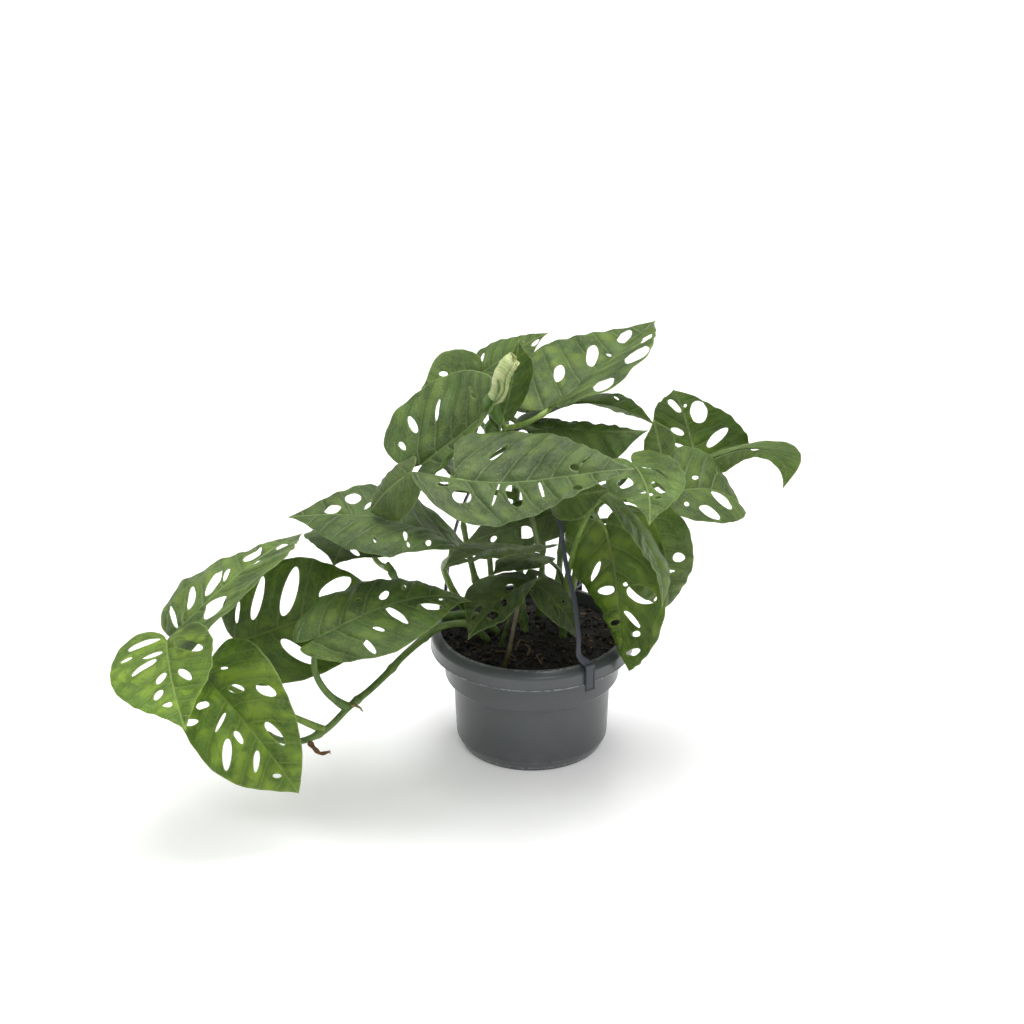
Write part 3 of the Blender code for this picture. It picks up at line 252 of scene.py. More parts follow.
         holes=[(49, -7, 14, 4.5, 9), (45, 9, 15, 8, -84), (30, 8, 14, 5, 66),
                (14, -5, 7, 7.5, 79)],
         stalk=("soil", 1.7, (-14, -61, 162), (-15, -51, 123), (-22, -51, 99))),
    dict(name="leaf_low_right",
         base=(-3.5, -28, 164.5), aim=(-25, -21, 4), length=69,
         wide=(24, 25), lobe=(0.08, 0.10), widest=(0.33, 0.39), lobe_at=(0.39, 0.41), full=(0.98, 0.98),
         bend=(27, 24), side=3, twist=-14, fold=(8, 11), curl=(-17, -5),
         holes=[(35, -8, 13, 5, -30), (34, 8, 4, 2.5, 83), (7, 10, 9, 4, 58),
                (7, -10, 9, 4, -58)],
         stalk=("soil", 1.7, (-16, -23, 147), (-15, -25, 137), (-26, -19, 99))),
    dict(name="leaf_centre_twisted",
         base=(6, -65, 212), aim=(-152, 16, -23), length=95,
         wide=(34, 35), lobe=(0.10, 0.10), widest=(0.36, 0.37), lobe_at=(0.42, 0.43), full=(1.00, 1.01),
         bend=(4, 33), side=1, twist=20, fold=(12, 7), curl=(-20, -18),
         holes=[(70, 5, 10, 6, -15)],
         stalk=("stem_centre", 2.1, (-1, -32, 220), (-3, 2, 231), (-16, 38, 240))),
    dict(name="leaf_centre_low",
         base=(7, -29, 187), aim=(-133, 15, -5), length=59,
         wide=(21, 21), lobe=(0.10, 0.10), widest=(0.36, 0.36), lobe_at=(0.42, 0.42), full=(1.00, 1.00),
         bend=(12, 10), side=-2, twist=5, fold=(7, 6), curl=(-13, -22),
         holes=[],
         stalk=("soil", 1.7, (30, -4, 168), (26, 15, 128), (31, 30, 99))),
    dict(name="leaf_centre_shaded",
         base=(25, 15.5, 205.5), aim=(-157, -7, 11), length=90,
         wide=(31, 31), lobe=(0.10, 0.10), widest=(0.34, 0.36), lobe_at=(0.42, 0.42), full=(1.01, 1.00),
         bend=(1, 8), side=-4, twist=-1, fold=(9, 8), curl=(-14, -20),
         holes=[(39, 12, 19, 14.5, -79), (65, 9, 8, 5, 58), (9, -13, 12, 5, -58),
                (38, -15, 13, 5, -58)],
         stalk=("stem_centre", 2.1, (35, 20, 186), (1, 21, 185), (-11, 24, 160))),
    dict(name="leaf_under_front",
         base=(19, -71, 259), aim=(-52, 30, -71), length=60,
         wide=(20, 20), lobe=(0.10, 0.10), widest=(0.36, 0.37), lobe_at=(0.42, 0.42), full=(1.00, 1.00),
         bend=(13, 21), side=0, twist=-3, fold=(8, 7), curl=(-20, -19),
         holes=[],
         stalk=("stem_right", 1.7, (16, -41, 238), (39, -10, 228), (45, 6, 190))),
    dict(name="leaf_small_folded",
         base=(-63, 7, 247.5), aim=(-102, 38, 63), length=44,
         wide=(16, 16), lobe=(0.10, 0.10), widest=(0.36, 0.36), lobe_at=(0.42, 0.42), full=(1.00, 1.00),
         bend=(9, 21), side=1, twist=1, fold=(8, 10), curl=(-22, -17),
         holes=[],
         stalk=("stem_centre", 1.7, (-63, 15, 240), (-22, 31, 220), (-15, 34, 231))),
]

STEMS = [   # name, radius, points from the soil outwards
    ("stem_left_trailing", 3.2, [(-38, -8, 98), (-52, -12, 114), (-70, -16, 116), (-84, -20, 111), (-106, -45, 103), (-119, -62, 96), (-134, -80, 89), (-150, -95, 82), (-170, -112, 69), (-192, -124, 65), (-216, -126, 72), (-238, -121, 91), (-259, -110, 109), (-273, -100, 124)]),
    ("stem_left_short", 3.6, [(-30, 6, 98), (-48, 4, 114), (-84, -10, 122), (-100, -14, 138), (-113, -16, 158), (-120, -14, 173)]),
    ("stem_centre", 3.4, [(-6, 8, 98), (-9, 16, 125), (-11, 27, 160), (-13, 39, 200), (-16, 38, 240), (-20, 31, 270), (-26, 26, 290)]),
    ("stem_middle_left", 3.1, [(-40, 34, 98), (-46, 31, 127), (-53, 29, 160), (-58, 28, 190)]),
    ("stem_middle", 2.8, [(-28, 30, 98), (-33, 29, 127), (-36, 28, 160), (-39, 28, 188)]),
    ("stem_middle_right", 2.8, [(6, 36, 98), (8, 34, 130), (9, 32, 160), (10, 31, 190)]),
    ("stem_back_right", 3.0, [(20, 28, 98), (22, 27, 130), (24, 27, 162), (26, 29, 192)]),
    ("stem_right", 3.4, [(26, 0, 98), (30, 2, 125), (38, 4, 160), (48, 6, 200), (60, 8, 232)]),
]

STRAPS = [  # name, points from the rim up to the hub
    ("hanger_strap_front", [(46.5, -71, 108), (38.5, -71, 116.5), (38, -68.5, 129.5), (36.5, -64.5, 146), (34.5, -59, 161.5), (30.5, -53, 177), (27, -47, 192), (24.5, -41, 207.5), (23, -37, 219.5), (17, -20, 240), (8, -4, 251), (-3, 9.5, 257)]),
    ("hanger_strap_left", [(-73.5, 42.5, 108), (-72, 43, 130), (-66, 46, 168), (-54, 46, 206), (-38, 38, 236), (-24, 24, 251), (-15, 17, 257)]),
    ("hanger_strap_back", [(38.5, 76, 108), (36, 71, 130), (32, 58, 165), (25, 46, 205), (14, 35, 232), (3, 26, 250), (-3, 21, 257)]),
]
HUB = (-8, 15, 258)
HOOK = [(-8, 15, 260), (-8, 15, 267), (-3.5, 15, 270), (-1, 15, 275),
        (-3, 15, 280.5), (-8, 15, 283), (-13, 15, 281), (-15, 15, 276.5)]

ROLLED = [(-20.5, 25.5, 262), (-26, 13, 271.5), (-27, -1.5, 289), (-27, -18, 304), (-31, -23.5, 315.5), (-34.5, -24.5, 324), (-29, -23.5, 333.5), (-27, -24, 346), (-22, -23, 356), (-16, -22, 363)]
ROLLED_R = (1.8, 1.6, 1.4, 1.8, 2.3, 2.6, 3.6, 5.4, 6.6, 4.5)

SMALL = [
    ("root_aerial", 1.8, [(-148, -101, 87), (-144, -104, 87), (-140, -105, 85)]),
    ("sheath_dried", 2.4, [(-182, -129, 67), (-178, -132, 63), (-173, -133, 59), (-167, -133, 60)]),
]

# how each leaf looks: tone (brightness, partly painted shade: leaves lying in the shade of others get a
# darker tone), yellow (towards yellow green), mottle (patchy lighter tissue), glow (light let through),
# quilt (mm)
LOOK = {
    "leaf_vine_end_low": (1.15, 0.52, 0.70, 0.40, 0.9),
    "leaf_vine_end_high": (1.16, 0.25, 0.35, 0.30, 1.0),
    "leaf_vine_hanging": (1.00, 0.55, 0.80, 0.42, 1.1),
    "leaf_vine_inner": (0.70, 0.36, 0.45, 0.34, 0.9),
    "leaf_vine_front": (1.12, 0.15, 0.28, 0.26, 1.1),
    "leaf_left_long": (1.02, 0.08, 0.20, 0.26, 1.1),
    "leaf_left_under": (0.70, 0.10, 0.20, 0.28, 0.6),
    "leaf_left_small": (1.00, 0.30, 0.20, 0.28, 0.5),
    "leaf_upper_left": (1.08, 0.10, 0.22, 0.26, 1.0),
    "leaf_top_left_small": (0.95, 0.25, 0.20, 0.30, 0.5),
    "leaf_top_back": (0.80, 0.20, 0.20, 0.34, 0.6),
    "leaf_young_half_open": (1.12, 0.22, 0.20, 0.30, 0.6),
    "leaf_top_right": (0.98, 0.15, 0.40, 0.28, 1.0),
    "leaf_arched": (0.95, 0.15, 0.20, 0.28, 0.7),
    "leaf_behind_arched": (0.84, 0.15, 0.20, 0.28, 1.3),
    "leaf_front_large": (0.93, 0.08, 0.22, 0.20, 1.2),
    "leaf_right_front": (1.08, 0.20, 0.25, 0.30, 1.0),
    "leaf_right_upright": (1.00, 0.40, 0.25, 0.34, 0.5),
    "leaf_right_raised": (0.95, 0.20, 0.30, 0.30, 0.7),
    "leaf_right_curled": (0.90, 0.25, 0.25, 0.30, 0.6),
    "leaf_right_outer": (0.95, 0.20, 0.25, 0.30, 0.7),
    "leaf_right_hanging": (0.82, 0.42, 0.65, 0.34, 1.0),
    "leaf_right_behind": (0.88, 0.42, 0.35, 0.34, 0.8),
    "leaf_right_edge_on": (1.06, 0.26, 0.25, 0.30, 0.9),
    "leaf_low_left": (0.60, 0.28, 0.28, 0.28, 0.8),
    "leaf_low_right": (0.60, 0.32, 0.28, 0.28, 0.8),
    "leaf_centre_twisted": (0.61, 0.22, 0.30, 0.26, 0.9),
    "leaf_centre_low": (0.64, 0.28, 0.25, 0.28, 0.6),
    "leaf_centre_shaded": (0.70, 0.20, 0.20, 0.30, 0.6),
    "leaf_under_front": (0.80, 0.35, 0.25, 0.34, 0.5),
    "leaf_small_folded": (0.85, 0.30, 0.20, 0.32, 0.5),
}


# ------------------------------------------------------------- node helpers
class Nodes:
    """A short way to write a node tree."""

    def __init__(self, name):
        self.mat = bpy.data.materials.new(name)
        self.mat.use_nodes = True
        self.nt = self.mat.node_tree
        self.nt.nodes.clear()
        self.out = self.nt.nodes.new("ShaderNodeOutputMaterial")

    def put(self, sock, value):
        if isinstance(value, bpy.types.NodeSocket):
            self.nt.links.new(value, sock)
        elif isinstance(value, (tuple, list)) and len(value) == 3 \
                and len(sock.default_value) == 4:
            sock.default_value = (*value, 1.0)
        else:
            sock.default_value = value

    def node(self, kind, out=0, inputs=None, **props):
        n = self.nt.nodes.new("ShaderNode" + kind)
        for k, v in props.items():
            setattr(n, k, v)
        for k, v in (inputs or {}).items():
            self.put(n.inputs[k], v)
        return n.outputs[out]

    def math(self, op, a, b=0.0, c=0.0, clamp=False):
        return self.node("Math", inputs={0: a, 1: b, 2: c}, operation=op,
                         use_clamp=clamp)

    def ramp(self, v, a, b, lo=0.0, hi=1.0, smooth=True):
        return self.node("MapRange", inputs={0: v, 1: a, 2: b, 3: lo, 4: hi},
                         interpolation_type="SMOOTHSTEP" if smooth
                         else "LINEAR")

    def mix(self, f, a, b, mode="MIX"):
        n = self.nt.nodes.new("ShaderNodeMix")
        n.data_type = "RGBA"
        n.blend_type = mode
        self.put(n.inputs[0], f)
        self.put(n.inputs[6], a)
        self.put(n.inputs[7], b)
        return n.outputs[2]

    def noise(self, vec, scale, detail=3.0, rough=0.55, out=0, warp=0.0):
        return self.node("TexNoise", out=out, inputs={
            "Vector": vec, "Scale": scale, "Detail": detail,
            "Roughness": rough, "Distortion": warp})

    def bump(self, h, strength, distance, normal=None):
        ins = {"Strength": strength, "Distance": distance, "Height": h}
        if normal is not None:
            ins["Normal"] = normal
        return self.node("Bump", inputs=ins)

    def principled(self, color, rough, normal=None, **more):
        n = self.nt.nodes.new("ShaderNodeBsdfPrincipled")
        self.put(n.inputs["Base Color"], color)
        self.put(n.inputs["Roughness"], rough)
        if normal is not None:
            self.put(n.inputs["Normal"], normal)
        for k, v in more.items():
            self.put(n.inputs[k.replace("_", " ")], v)
        return n.outputs[0]

    def finish(self, shader):
        self.nt.links.new(shader, self.out.inputs[0])
        return self.mat


def lin(r, g, b):
    """0-255 screen colour to linear."""
    def f(v):
        v /= 255.0
        return v / 12.92 if v <= 0.04045 else ((v + 0.055) / 1.055) ** 2.4
    return (f(r), f(g), f(b))


def blendc(a, b, f):
    return tuple(x * (1 - f) + y * f for x, y in zip(a, b))


def scaled(a, f):
    return tuple(min(1.0, x * f) for x in a)


# ---------------------------------------------------------------- materials
def leaf_material(name, look, under, seed):
    tone_and_shade, yellow, mottle, glow, _ = look
    m = Nodes(name)
    lv = m.node("Attribute", out=1, attribute_name="lv")
    lx = m.node("Attribute", out=1, attribute_name="lx")
    sv = m.nt.nodes.new("ShaderNodeSeparateXYZ")
    m.nt.links.new(lv, sv.inputs[0])
    sx = m.nt.nodes.new("ShaderNodeSeparateXYZ")
    m.nt.links.new(lx, sx.inputs[0])
    phase, across = sv.outputs[0], sv.outputs[1]
    off = m.node("VectorMath", inputs={0: lx, 1: (seed * 3.17, seed * 1.3, seed)},
                 operation="ADD")
    # veins: side veins by phase, the midrib, and a fine net between them
    wob = m.noise(off, 9.0, 2.0)
    ph = m.math("ADD", phase, m.math("MULTIPLY", m.math("SUBTRACT", wob, 0.5),
                                     0.25))
    fr = m.math("FRACT", ph)
    d = m.math("SUBTRACT", 0.5, m.math("ABSOLUTE",
                                       m.math("SUBTRACT", fr, 0.5)))
    side = m.math("MULTIPLY", m.ramp(d, 0.015, 0.085, 1.0, 0.0),
                  m.ramp(across, 0.2, 0.95, 1.0, 0.30))
    half = m.math("SUBTRACT", 0.5, m.math("ABSOLUTE", m.math(
        "SUBTRACT", m.math("FRACT", m.math("ADD", ph, 0.5)), 0.5)))
    minor = m.math("MULTIPLY", m.ramp(half, 0.01, 0.06, 0.45, 0.0),
                   m.ramp(across, 0.0, 0.6, 0.2, 1.0))
    ay = m.math("ABSOLUTE", sx.outputs[1])
    rib = m.ramp(ay, 0.004, 0.015, 1.0, 0.0)
    net = m.ramp(m.node("TexVoronoi", inputs={"Vector": off, "Scale": 26.0,
                                              "Randomness": 1.0},
                        feature="DISTANCE_TO_EDGE"), 0.0, 0.10, 1.0, 0.0)
    fine = m.ramp(m.node("TexVoronoi", inputs={"Vector": off, "Scale": 75.0},
                         feature="DISTANCE_TO_EDGE"), 0.0, 0.12, 1.0, 0.0)
    veins = m.math("MAXIMUM", m.math("MAXIMUM", side, minor), rib)
    # colour
    if under:
        dark = blendc(lin(76, 104, 52), lin(110, 134, 48), yellow)
        mid = blendc(lin(104, 132, 76), lin(142, 162, 70), yellow)
        vein = blendc(lin(142, 162, 104), lin(176, 188, 104), yellow)
    else:
        dark = blendc(lin(40, 64, 26), lin(72, 98, 24), yellow)
        mid = blendc(lin(78, 102, 54), lin(112, 138, 46), yellow)
        vein = blendc(lin(126, 146, 96), lin(160, 176, 92), yellow)
    # the colours are scaled by the leaf's tone, which includes painted shade for leaves lying in the
    # shade of others
    dark, mid, vein = (scaled(c, f * tone_and_shade) for c, f in
                       ((dark, 0.80), (mid, 1.06), (vein, 1.0)))
    lime = scaled(lin(150, 172, 56), 0.9 * tone_and_shade)
    big = m.ramp(m.noise(off, 2.6, 3.0, 0.6), 0.36, 0.66)
    col = m.mix(big, dark, mid)
    # painted shade: the tissue is darker in the valleys along the side veins and palest half way
    # between them
    col = m.mix(m.math("MULTIPLY", m.ramp(d, 0.03, 0.30, 1.0, 0.0), 0.45),
                col, scaled(dark, 0.80))
    small = m.noise(off, 34.0, 5.0, 0.7)
    col = m.mix(m.math("MULTIPLY", m.ramp(small, 0.40, 0.72), 0.45), col,
                blendc(mid, lime, 0.25))
    patch = m.math("MULTIPLY", m.ramp(m.noise(off, 4.2, 4.0, 0.55, warp=0.6),
                                      0.42, 0.62), mottle)
    # mottle kept between the side veins and faded next to them: partly the leaf's own lighter tissue,
    # partly painted light on the raised tissue between the veins
    patch = m.math("MULTIPLY", patch, m.ramp(d, 0.05, 0.40, 0.35, 1.0))
    col = m.mix(patch, col, lime)
    col = m.mix(m.math("MULTIPLY", m.ramp(m.noise(off, 5.0, 4.0), 0.62, 0.72),
                       0.35), col, scaled(dark, 0.72))
    col = m.mix(m.math("MULTIPLY", fine, 0.10), col, vein)
    col = m.mix(m.math("MULTIPLY", net, 0.22), col, vein)
    col = m.mix(m.math("MULTIPLY", veins, 0.70 if under else 0.42), col, vein)
    col = m.mix(m.math("MULTIPLY", rib, 0.45), col, scaled(vein, 1.12))
    edge = m.ramp(sx.outputs[2], 0.003, 0.013, 1.0, 0.0)
    col = m.mix(m.math("MULTIPLY", edge, 0.55), col, scaled(vein, 1.1))
    # rare tan flecks
    fleck = m.node("TexVoronoi", inputs={"Vector": off, "Scale": 11.0},
                   feature="F1")
    col = m.mix(m.math("MULTIPLY", m.ramp(fleck, 0.03, 0.07, 1.0, 0.0), 0.5),
                col, lin(150, 138, 84))
    # relief
    h = m.math("ADD", m.math("MULTIPLY", veins, 0.9 if under else -0.8),
               m.math("MULTIPLY", net, 0.35 if under else -0.30))
    h = m.math("ADD", h, m.math("MULTIPLY", fine, 0.12 if under else -0.12))
    h = m.math("ADD", h, m.math("MULTIPLY", m.noise(off, 60.0, 4.0), 0.5))
    normal = m.bump(h, 0.85, 0.0009)
    rough = m.ramp(m.noise(off, 12.0, 4.0), 0.3, 0.7,
                   0.54 if under else 0.36, 0.68 if under else 0.50)
    front = m.principled(col, rough, normal, IOR=1.45,
                         Specular_IOR_Level=0.35 if under else 0.62)
    lit = m.mix(0.55, m.mix(1.0, col, (2.4, 2.6, 1.5), "MULTIPLY"),
                lin(176, 208, 64))
    back = m.node("BsdfTranslucent", inputs={"Color": lit, "Normal": normal})
    return m.finish(m.node("MixShader", inputs={0: glow, 1: front, 2: back}))


def stalk_material(name, base, other, seed, rough=0.42):
    m = Nodes(name)
    tc = m.node("TexCoord", out=3)
    off = m.node("VectorMath", inputs={0: tc, 1: (seed, seed * 0.7, 0.3)},
                 operation="ADD")
    streak = m.node("VectorMath", inputs={0: off, 1: (420.0, 420.0, 60.0)},
                    operation="MULTIPLY")
    col = m.mix(m.ramp(m.noise(off, 90.0, 5.0, 0.65), 0.35, 0.68), base, other)
    col = m.mix(m.math("MULTIPLY", m.ramp(m.noise(streak, 1.0, 3.0), 0.45,
                                          0.75), 0.4), col,
                scaled(base, 1.35))
    spot = m.node("TexVoronoi", inputs={"Vector": off, "Scale": 330.0},
                  feature="F1")
    col = m.mix(m.math("MULTIPLY", m.ramp(spot, 0.05, 0.22, 1.0, 0.0), 0.4),
                col, scaled(other, 0.6))
    h = m.math("ADD", m.noise(streak, 1.0, 4.0),
               m.math("MULTIPLY", m.noise(off, 900.0, 2.0), 0.3))
    return m.finish(m.principled(
        col, m.ramp(m.noise(off, 160.0, 3.0), 0.3, 0.7, rough - 0.06,
                    rough + 0.14),
        m.bump(h, 0.35, 0.0004), IOR=1.42,
        Subsurface_Weight=0.12, Subsurface_Scale=0.002))


def plastic_material(name, rgb, worn, seed, rough=0.40, rings=False):
    m = Nodes(name)
    tc = m.node("TexCoord", out=3)
    off = m.node("VectorMath", inputs={0: tc, 1: (seed, 0.1, seed * 0.5)},
                 operation="ADD")
    cloud = m.ramp(m.noise(off, 14.0, 4.0, 0.6), 0.35, 0.70)
    col = m.mix(m.math("MULTIPLY", cloud, 0.45), rgb, worn)
    dust = m.ramp(m.noise(off, 420.0, 6.0, 0.75), 0.60, 0.78)
    col = m.mix(m.math("MULTIPLY", dust, 0.30), col, scaled(worn, 1.5))
    sp = m.nt.nodes.new("ShaderNodeSeparateXYZ")
    m.nt.links.new(tc, sp.inputs[0])
    # water marks and dirt gather towards the foot
    low = m.math("MULTIPLY", m.ramp(sp.outputs[2], 0.0, 0.05, 1.0, 0.0),
                 m.ramp(m.noise(off, 55.0, 5.0, 0.7), 0.42, 0.66))
    col = m.mix(m.math("MULTIPLY", low, 0.30), col, scaled(rgb, 0.62))
    if rings:  # painted highlight lines along the lower edge of the rim band, the foot and the lip
        z = sp.outputs[2]
        # noise that breaks up the painted highlight lines
        highlight_breakup = m.ramp(m.noise(off, 240.0, 5.0, 0.75), 0.40, 0.62)
        for z0, half, amount in ((0.0903, 0.0009, 0.55), (0.0032, 0.0016, 0.40),
                                 (0.0095, 0.0005, 0.30),
                                 (0.1056, 0.0006, 0.25)):
            near = m.ramp(m.math("ABSOLUTE", m.math("SUBTRACT", z, z0)),
                          half * 0.35, half, 1.0, 0.0)
            col = m.mix(m.math("MULTIPLY", m.math("MULTIPLY", near, highlight_breakup),
                               amount), col, lin(168, 170, 172))
    grain = m.noise(off, 1500.0, 3.0, 0.6)
    h = m.math("ADD", m.math("MULTIPLY", grain, 0.5),
               m.math("MULTIPLY", m.noise(off, 130.0, 3.0), 0.6))
    if rings:  # faint turned lines left by the mould
        line = m.math("SINE", m.math("MULTIPLY", sp.outputs[2], 3600.0))
        h = m.math("ADD", h, m.math("MULTIPLY", line, 0.10))
    r = m.math("ADD", m.ramp(cloud, 0.0, 1.0, rough - 0.05, rough + 0.07),
               m.math("MULTIPLY", dust, 0.2))
    return m.finish(m.principled(col, r, m.bump(h, 0.30, 0.0003),
                                 IOR=1.50, Specular_IOR_Level=0.5))


def soil_material():
    m = Nodes("soil_mix")
    tc = m.node("TexCoord", out=3)
    grit = m.node("TexVoronoi", out=1, inputs={"Vector": tc, "Scale": 420.0},
                  feature="F1")
    shade = m.node("SeparateColor", inputs={0: grit})
    col = m.mix(m.ramp(shade, 0.1, 0.9), lin(5, 4, 3), lin(24, 17, 11))
    col = m.mix(m.ramp(m.noise(tc, 60.0, 6.0, 0.7), 0.45, 0.75), col,
                lin(9, 7, 5))
    col = m.mix(m.math("MULTIPLY", m.ramp(shade, 0.965, 0.98), 0.8), col,
                lin(112, 88, 58))
    h = m.math("ADD", m.node("TexVoronoi", inputs={"Vector": tc,
                                                   "Scale": 420.0},
                             feature="F1"), m.noise(tc, 700.0, 5.0, 0.7))
    return m.finish(m.principled(col, m.ramp(shade, 0.0, 1.0, 0.75, 0.95),
                                 m.bump(h, 0.8, 0.0012)))


def fibre_material(name, a, b):
    m = Nodes(name)
    tc = m.node("TexCoord", out=3)
    col = m.mix(m.ramp(m.noise(tc, 260.0, 5.0, 0.7), 0.35, 0.7), a, b)
    col = m.mix(m.math("MULTIPLY", m.ramp(m.noise(tc, 1200.0, 3.0), 0.5, 0.7),
                       0.5), col, scaled(a, 0.5))
    return m.finish(m.principled(col, m.ramp(m.noise(tc, 300.0), 0.3, 0.7,
                                             0.65, 0.9),
                                 m.bump(m.noise(tc, 900.0, 5.0), 0.6, 0.0005)))


# ------------------------------------------------------------ mesh helpers
class Build:
    """Gathers the vertices (mm), faces and attributes of one piece."""

    def __init__(self):
        self.v, self.f, self.mi = [], [], []
        self.lx, self.lv = [], []

    def add(self, verts, faces, mat, lx=None, lv=None):
        k = sum(len(a) for a in self.v)
        verts = np.asarray(verts, float)
        self.v.append(verts)
        z = np.zeros((len(verts), 3))
        self.lx.append(z if lx is None else lx)
        self.lv.append(z if lv is None else lv)
        for fs in faces:
            self.f += (np.asarray(fs) + k).tolist()
            self.mi += [mat] * len(fs)

    def make(self, name, mats, attrs=True):
        mesh = bpy.data.meshes.new(name)
        v = np.concatenate(self.v) * MM
        mesh.from_pydata(v.tolist(), [], self.f)
        for m in mats:
            mesh.materials.append(m)
        mesh.polygons.foreach_set("material_index", self.mi)
        if attrs:
            for key, data in (("lx", self.lx), ("lv", self.lv)):
                a = mesh.attributes.new(key, "FLOAT_VECTOR", "POINT")
                a.data.foreach_set("vector",
                                   np.concatenate(data).astype(np.float32).ravel())
        mesh.validate()
        mesh.shade_smooth()
        ob = bpy.data.objects.new(name, mesh)
        bpy.context.scene.collection.objects.link(ob)
        return ob


def unit(a):
    return a / np.maximum(np.linalg.norm(a, axis=-1, keepdims=True), 1e-9)


def sweep(path, radii, sides=12, cross=None, ref=None, dome=0.6):
    """A closed tube along path: vertices and faces. cross is a closed list of
    (across, out) points of unit size; ref points the out side."""
    p = np.asarray(path, float)
    r = np.asarray(radii, float)
    if r.ndim == 1:
        r = np.stack([r, r], 1)
    t = unit(np.gradient(p, axis=0))
    if cross is None:
        a = np.linspace(0, 2 * math.pi, sides, endpoint=False)
        cross = np.stack([np.cos(a), np.sin(a)], 1)
    cross = np.asarray(cross, float)
    n = len(cross)
    if ref is None:
        w = np.array([0.0, 0.0, 1.0])
        if abs(t[0] @ w) > 0.9:
            w = np.array([1.0, 0.0, 0.0])
        outs = [unit(w - (w @ t[0]) * t[0])]
        for i in range(1, len(p)):
            o = outs[-1] - (outs[-1] @ t[i]) * t[i]
            outs.append(unit(o))
        outs = np.array(outs)
    else:
        ref = np.broadcast_to(np.asarray(ref, float), p.shape)
        outs = unit(ref - (ref * t).sum(1, keepdims=True) * t)
    acr = np.cross(t, outs)
    rings = (p[:, None] + acr[:, None] * (cross[None, :, 0:1] * r[:, None, 0:1])
             + outs[:, None] * (cross[None, :, 1:2] * r[:, None, 1:2]))
    v = rings.reshape(-1, 3)
    i = np.arange(len(p) - 1)[:, None] * n
    j = np.arange(n)[None]
    jn = (j + 1) % n
    quads = np.stack([i + j, i + jn, i + n + jn, i + n + j], -1).reshape(-1, 4)
    c0 = p[0] - t[0] * r[0].mean() * dome
    c1 = p[-1] + t[-1] * r[-1].mean() * dome
    v = np.concatenate([v, [c0, c1]])
    k0, k1 = len(v) - 2, len(v) - 1
    js = np.arange(n)
    jj = (js + 1) % n
    base = (len(p) - 1) * n
    caps = np.concatenate([np.stack([jj, js, np.full(n, k0)], 1),
                           np.stack([base + js, base + jj, np.full(n, k1)], 1)])
    # turn the faces outwards
    a, b, c = v[quads[0, 0]], v[quads[0, 1]], v[quads[0, 2]]
    if np.cross(b - a, c - a) @ (v[quads[0, 0]] - p[0]) < 0:
        quads, caps = quads[:, ::-1], caps[:, ::-1]
    return v, [quads, caps]


def smooth_path(pts, n):
    """A Catmull-Rom curve through pts with n steps between two of them."""
    p = np.asarray(pts, float)
    p = np.concatenate([[2 * p[0] - p[1]], p, [2 * p[-1] - p[-2]]])
    t = (np.arange(n) / n)[:, None]
    out = []
    for i in range(1, len(p) - 2):
        a, b, c, d = p[i - 1:i + 3]
        out.append(0.5 * (2 * b + (c - a) * t + (2 * a - 5 * b + 4 * c - d)
                          * t * t + (3 * b - a - 3 * c + d) * t ** 3))
    return np.concatenate(out + [p[-2:-1]])


def bezier(p0, p1, p2, p3, n):
    t = np.linspace(0, 1, n + 1)[:, None]
    p0, p1, p2, p3 = (np.asarray(q, float) for q in (p0, p1, p2, p3))
    return (p0 * (1 - t) ** 3 + p1 * 3 * (1 - t) ** 2 * t
            + p2 * 3 * (1 - t) * t * t + p3 * t ** 3)


def soil_z(x, y):
    r = min(1.0, math.hypot(x, y) / 76.0)
    return SOIL_MID_Z + (SOIL_EDGE_Z - SOIL_MID_Z) * r * r


def rotate(v, axis, ang):
    c, s = math.cos(ang), math.sin(ang)
    return v * c + np.cross(axis, v) * s + axis * (axis @ v) * (1 - c)


# ------------------------------------------------------------------- leaves
def midrib(leaf, n=48):
    yaw, pitch, roll = (math.radians(a) for a in leaf["aim"])
    length = leaf["length"]
    t = np.array([math.cos(pitch) * math.cos(yaw),
                  math.cos(pitch) * math.sin(yaw), math.sin(pitch)])
    left = np.array([-math.sin(yaw), math.cos(yaw), 0.0])
    up = np.cross(t, left)
    left, up = rotate(left, t, -roll), rotate(up, t, -roll)
    p = np.array(leaf["base"], float)
    out = [(p, t, left, up)]
    b1, b2 = leaf["bend"]
    for i in range(n):
        u = (i + 0.5) / n
        a = (math.radians(b1) * (1 - u) + math.radians(b2) * u) * 2 / n
        b = math.radians(leaf["side"]) / n
        w = math.radians(leaf["twist"]) / n
        tm = rotate(rotate(t, left, a / 2), up, b / 2)
        p = p + unit(tm) * (length / n)
        t, up = rotate(t, left, a), rotate(up, left, a)
        t, left = rotate(t, up, b), rotate(left, up, b)
        left, up = rotate(left, t, -w), rotate(up, t, -w)
        out.append((p, t, left, up))
    return [np.array([f[i] for f in out]) for i in range(4)]


def half_outline(leaf, k, n):
    length, w = leaf["length"], leaf["wide"][k]
    lb = leaf["lobe"][k] * length
    xm = leaf["widest"][k] * length
    ly, fl = leaf["lobe_at"][k], leaf["full"][k]
    p1, p2 = (-lb, ly * w), (xm, w)
    s1 = bezier((0, 0), (-0.55 * lb, 0.07 * ly * w), (-lb, 0.38 * ly * w), p1, n)
    s2 = bezier(p1, (-lb + max(0, 0.5 - fl) * 0.5 * length,
                     (ly + (1 - ly) * 0.52 * fl) * w),
                (xm - (xm + lb) * 0.45, w), p2, n)
    s3 = bezier(p2, (xm + (length - xm) * 0.5, w),
                (length * 0.80, 0.16 * w), (length, 0), n)
    out = np.concatenate([s1, s2[1:], s3[1:]])
    out[:, 1] *= 1 if k == 0 else -1
    return out


def resample(line, step, closed=False):
    if closed:
        line = np.concatenate([line, line[:1]])
    seg = np.linalg.norm(np.diff(line, axis=0), axis=1)
    s = np.concatenate([[0], np.cumsum(seg)])
    n = max(6, int(round(s[-1] / step)))
    q = np.linspace(0, s[-1], n + 1)
    if closed:
        q = q[:-1]
    return np.stack([np.interp(q, s, line[:, i]) for i in range(2)], 1)


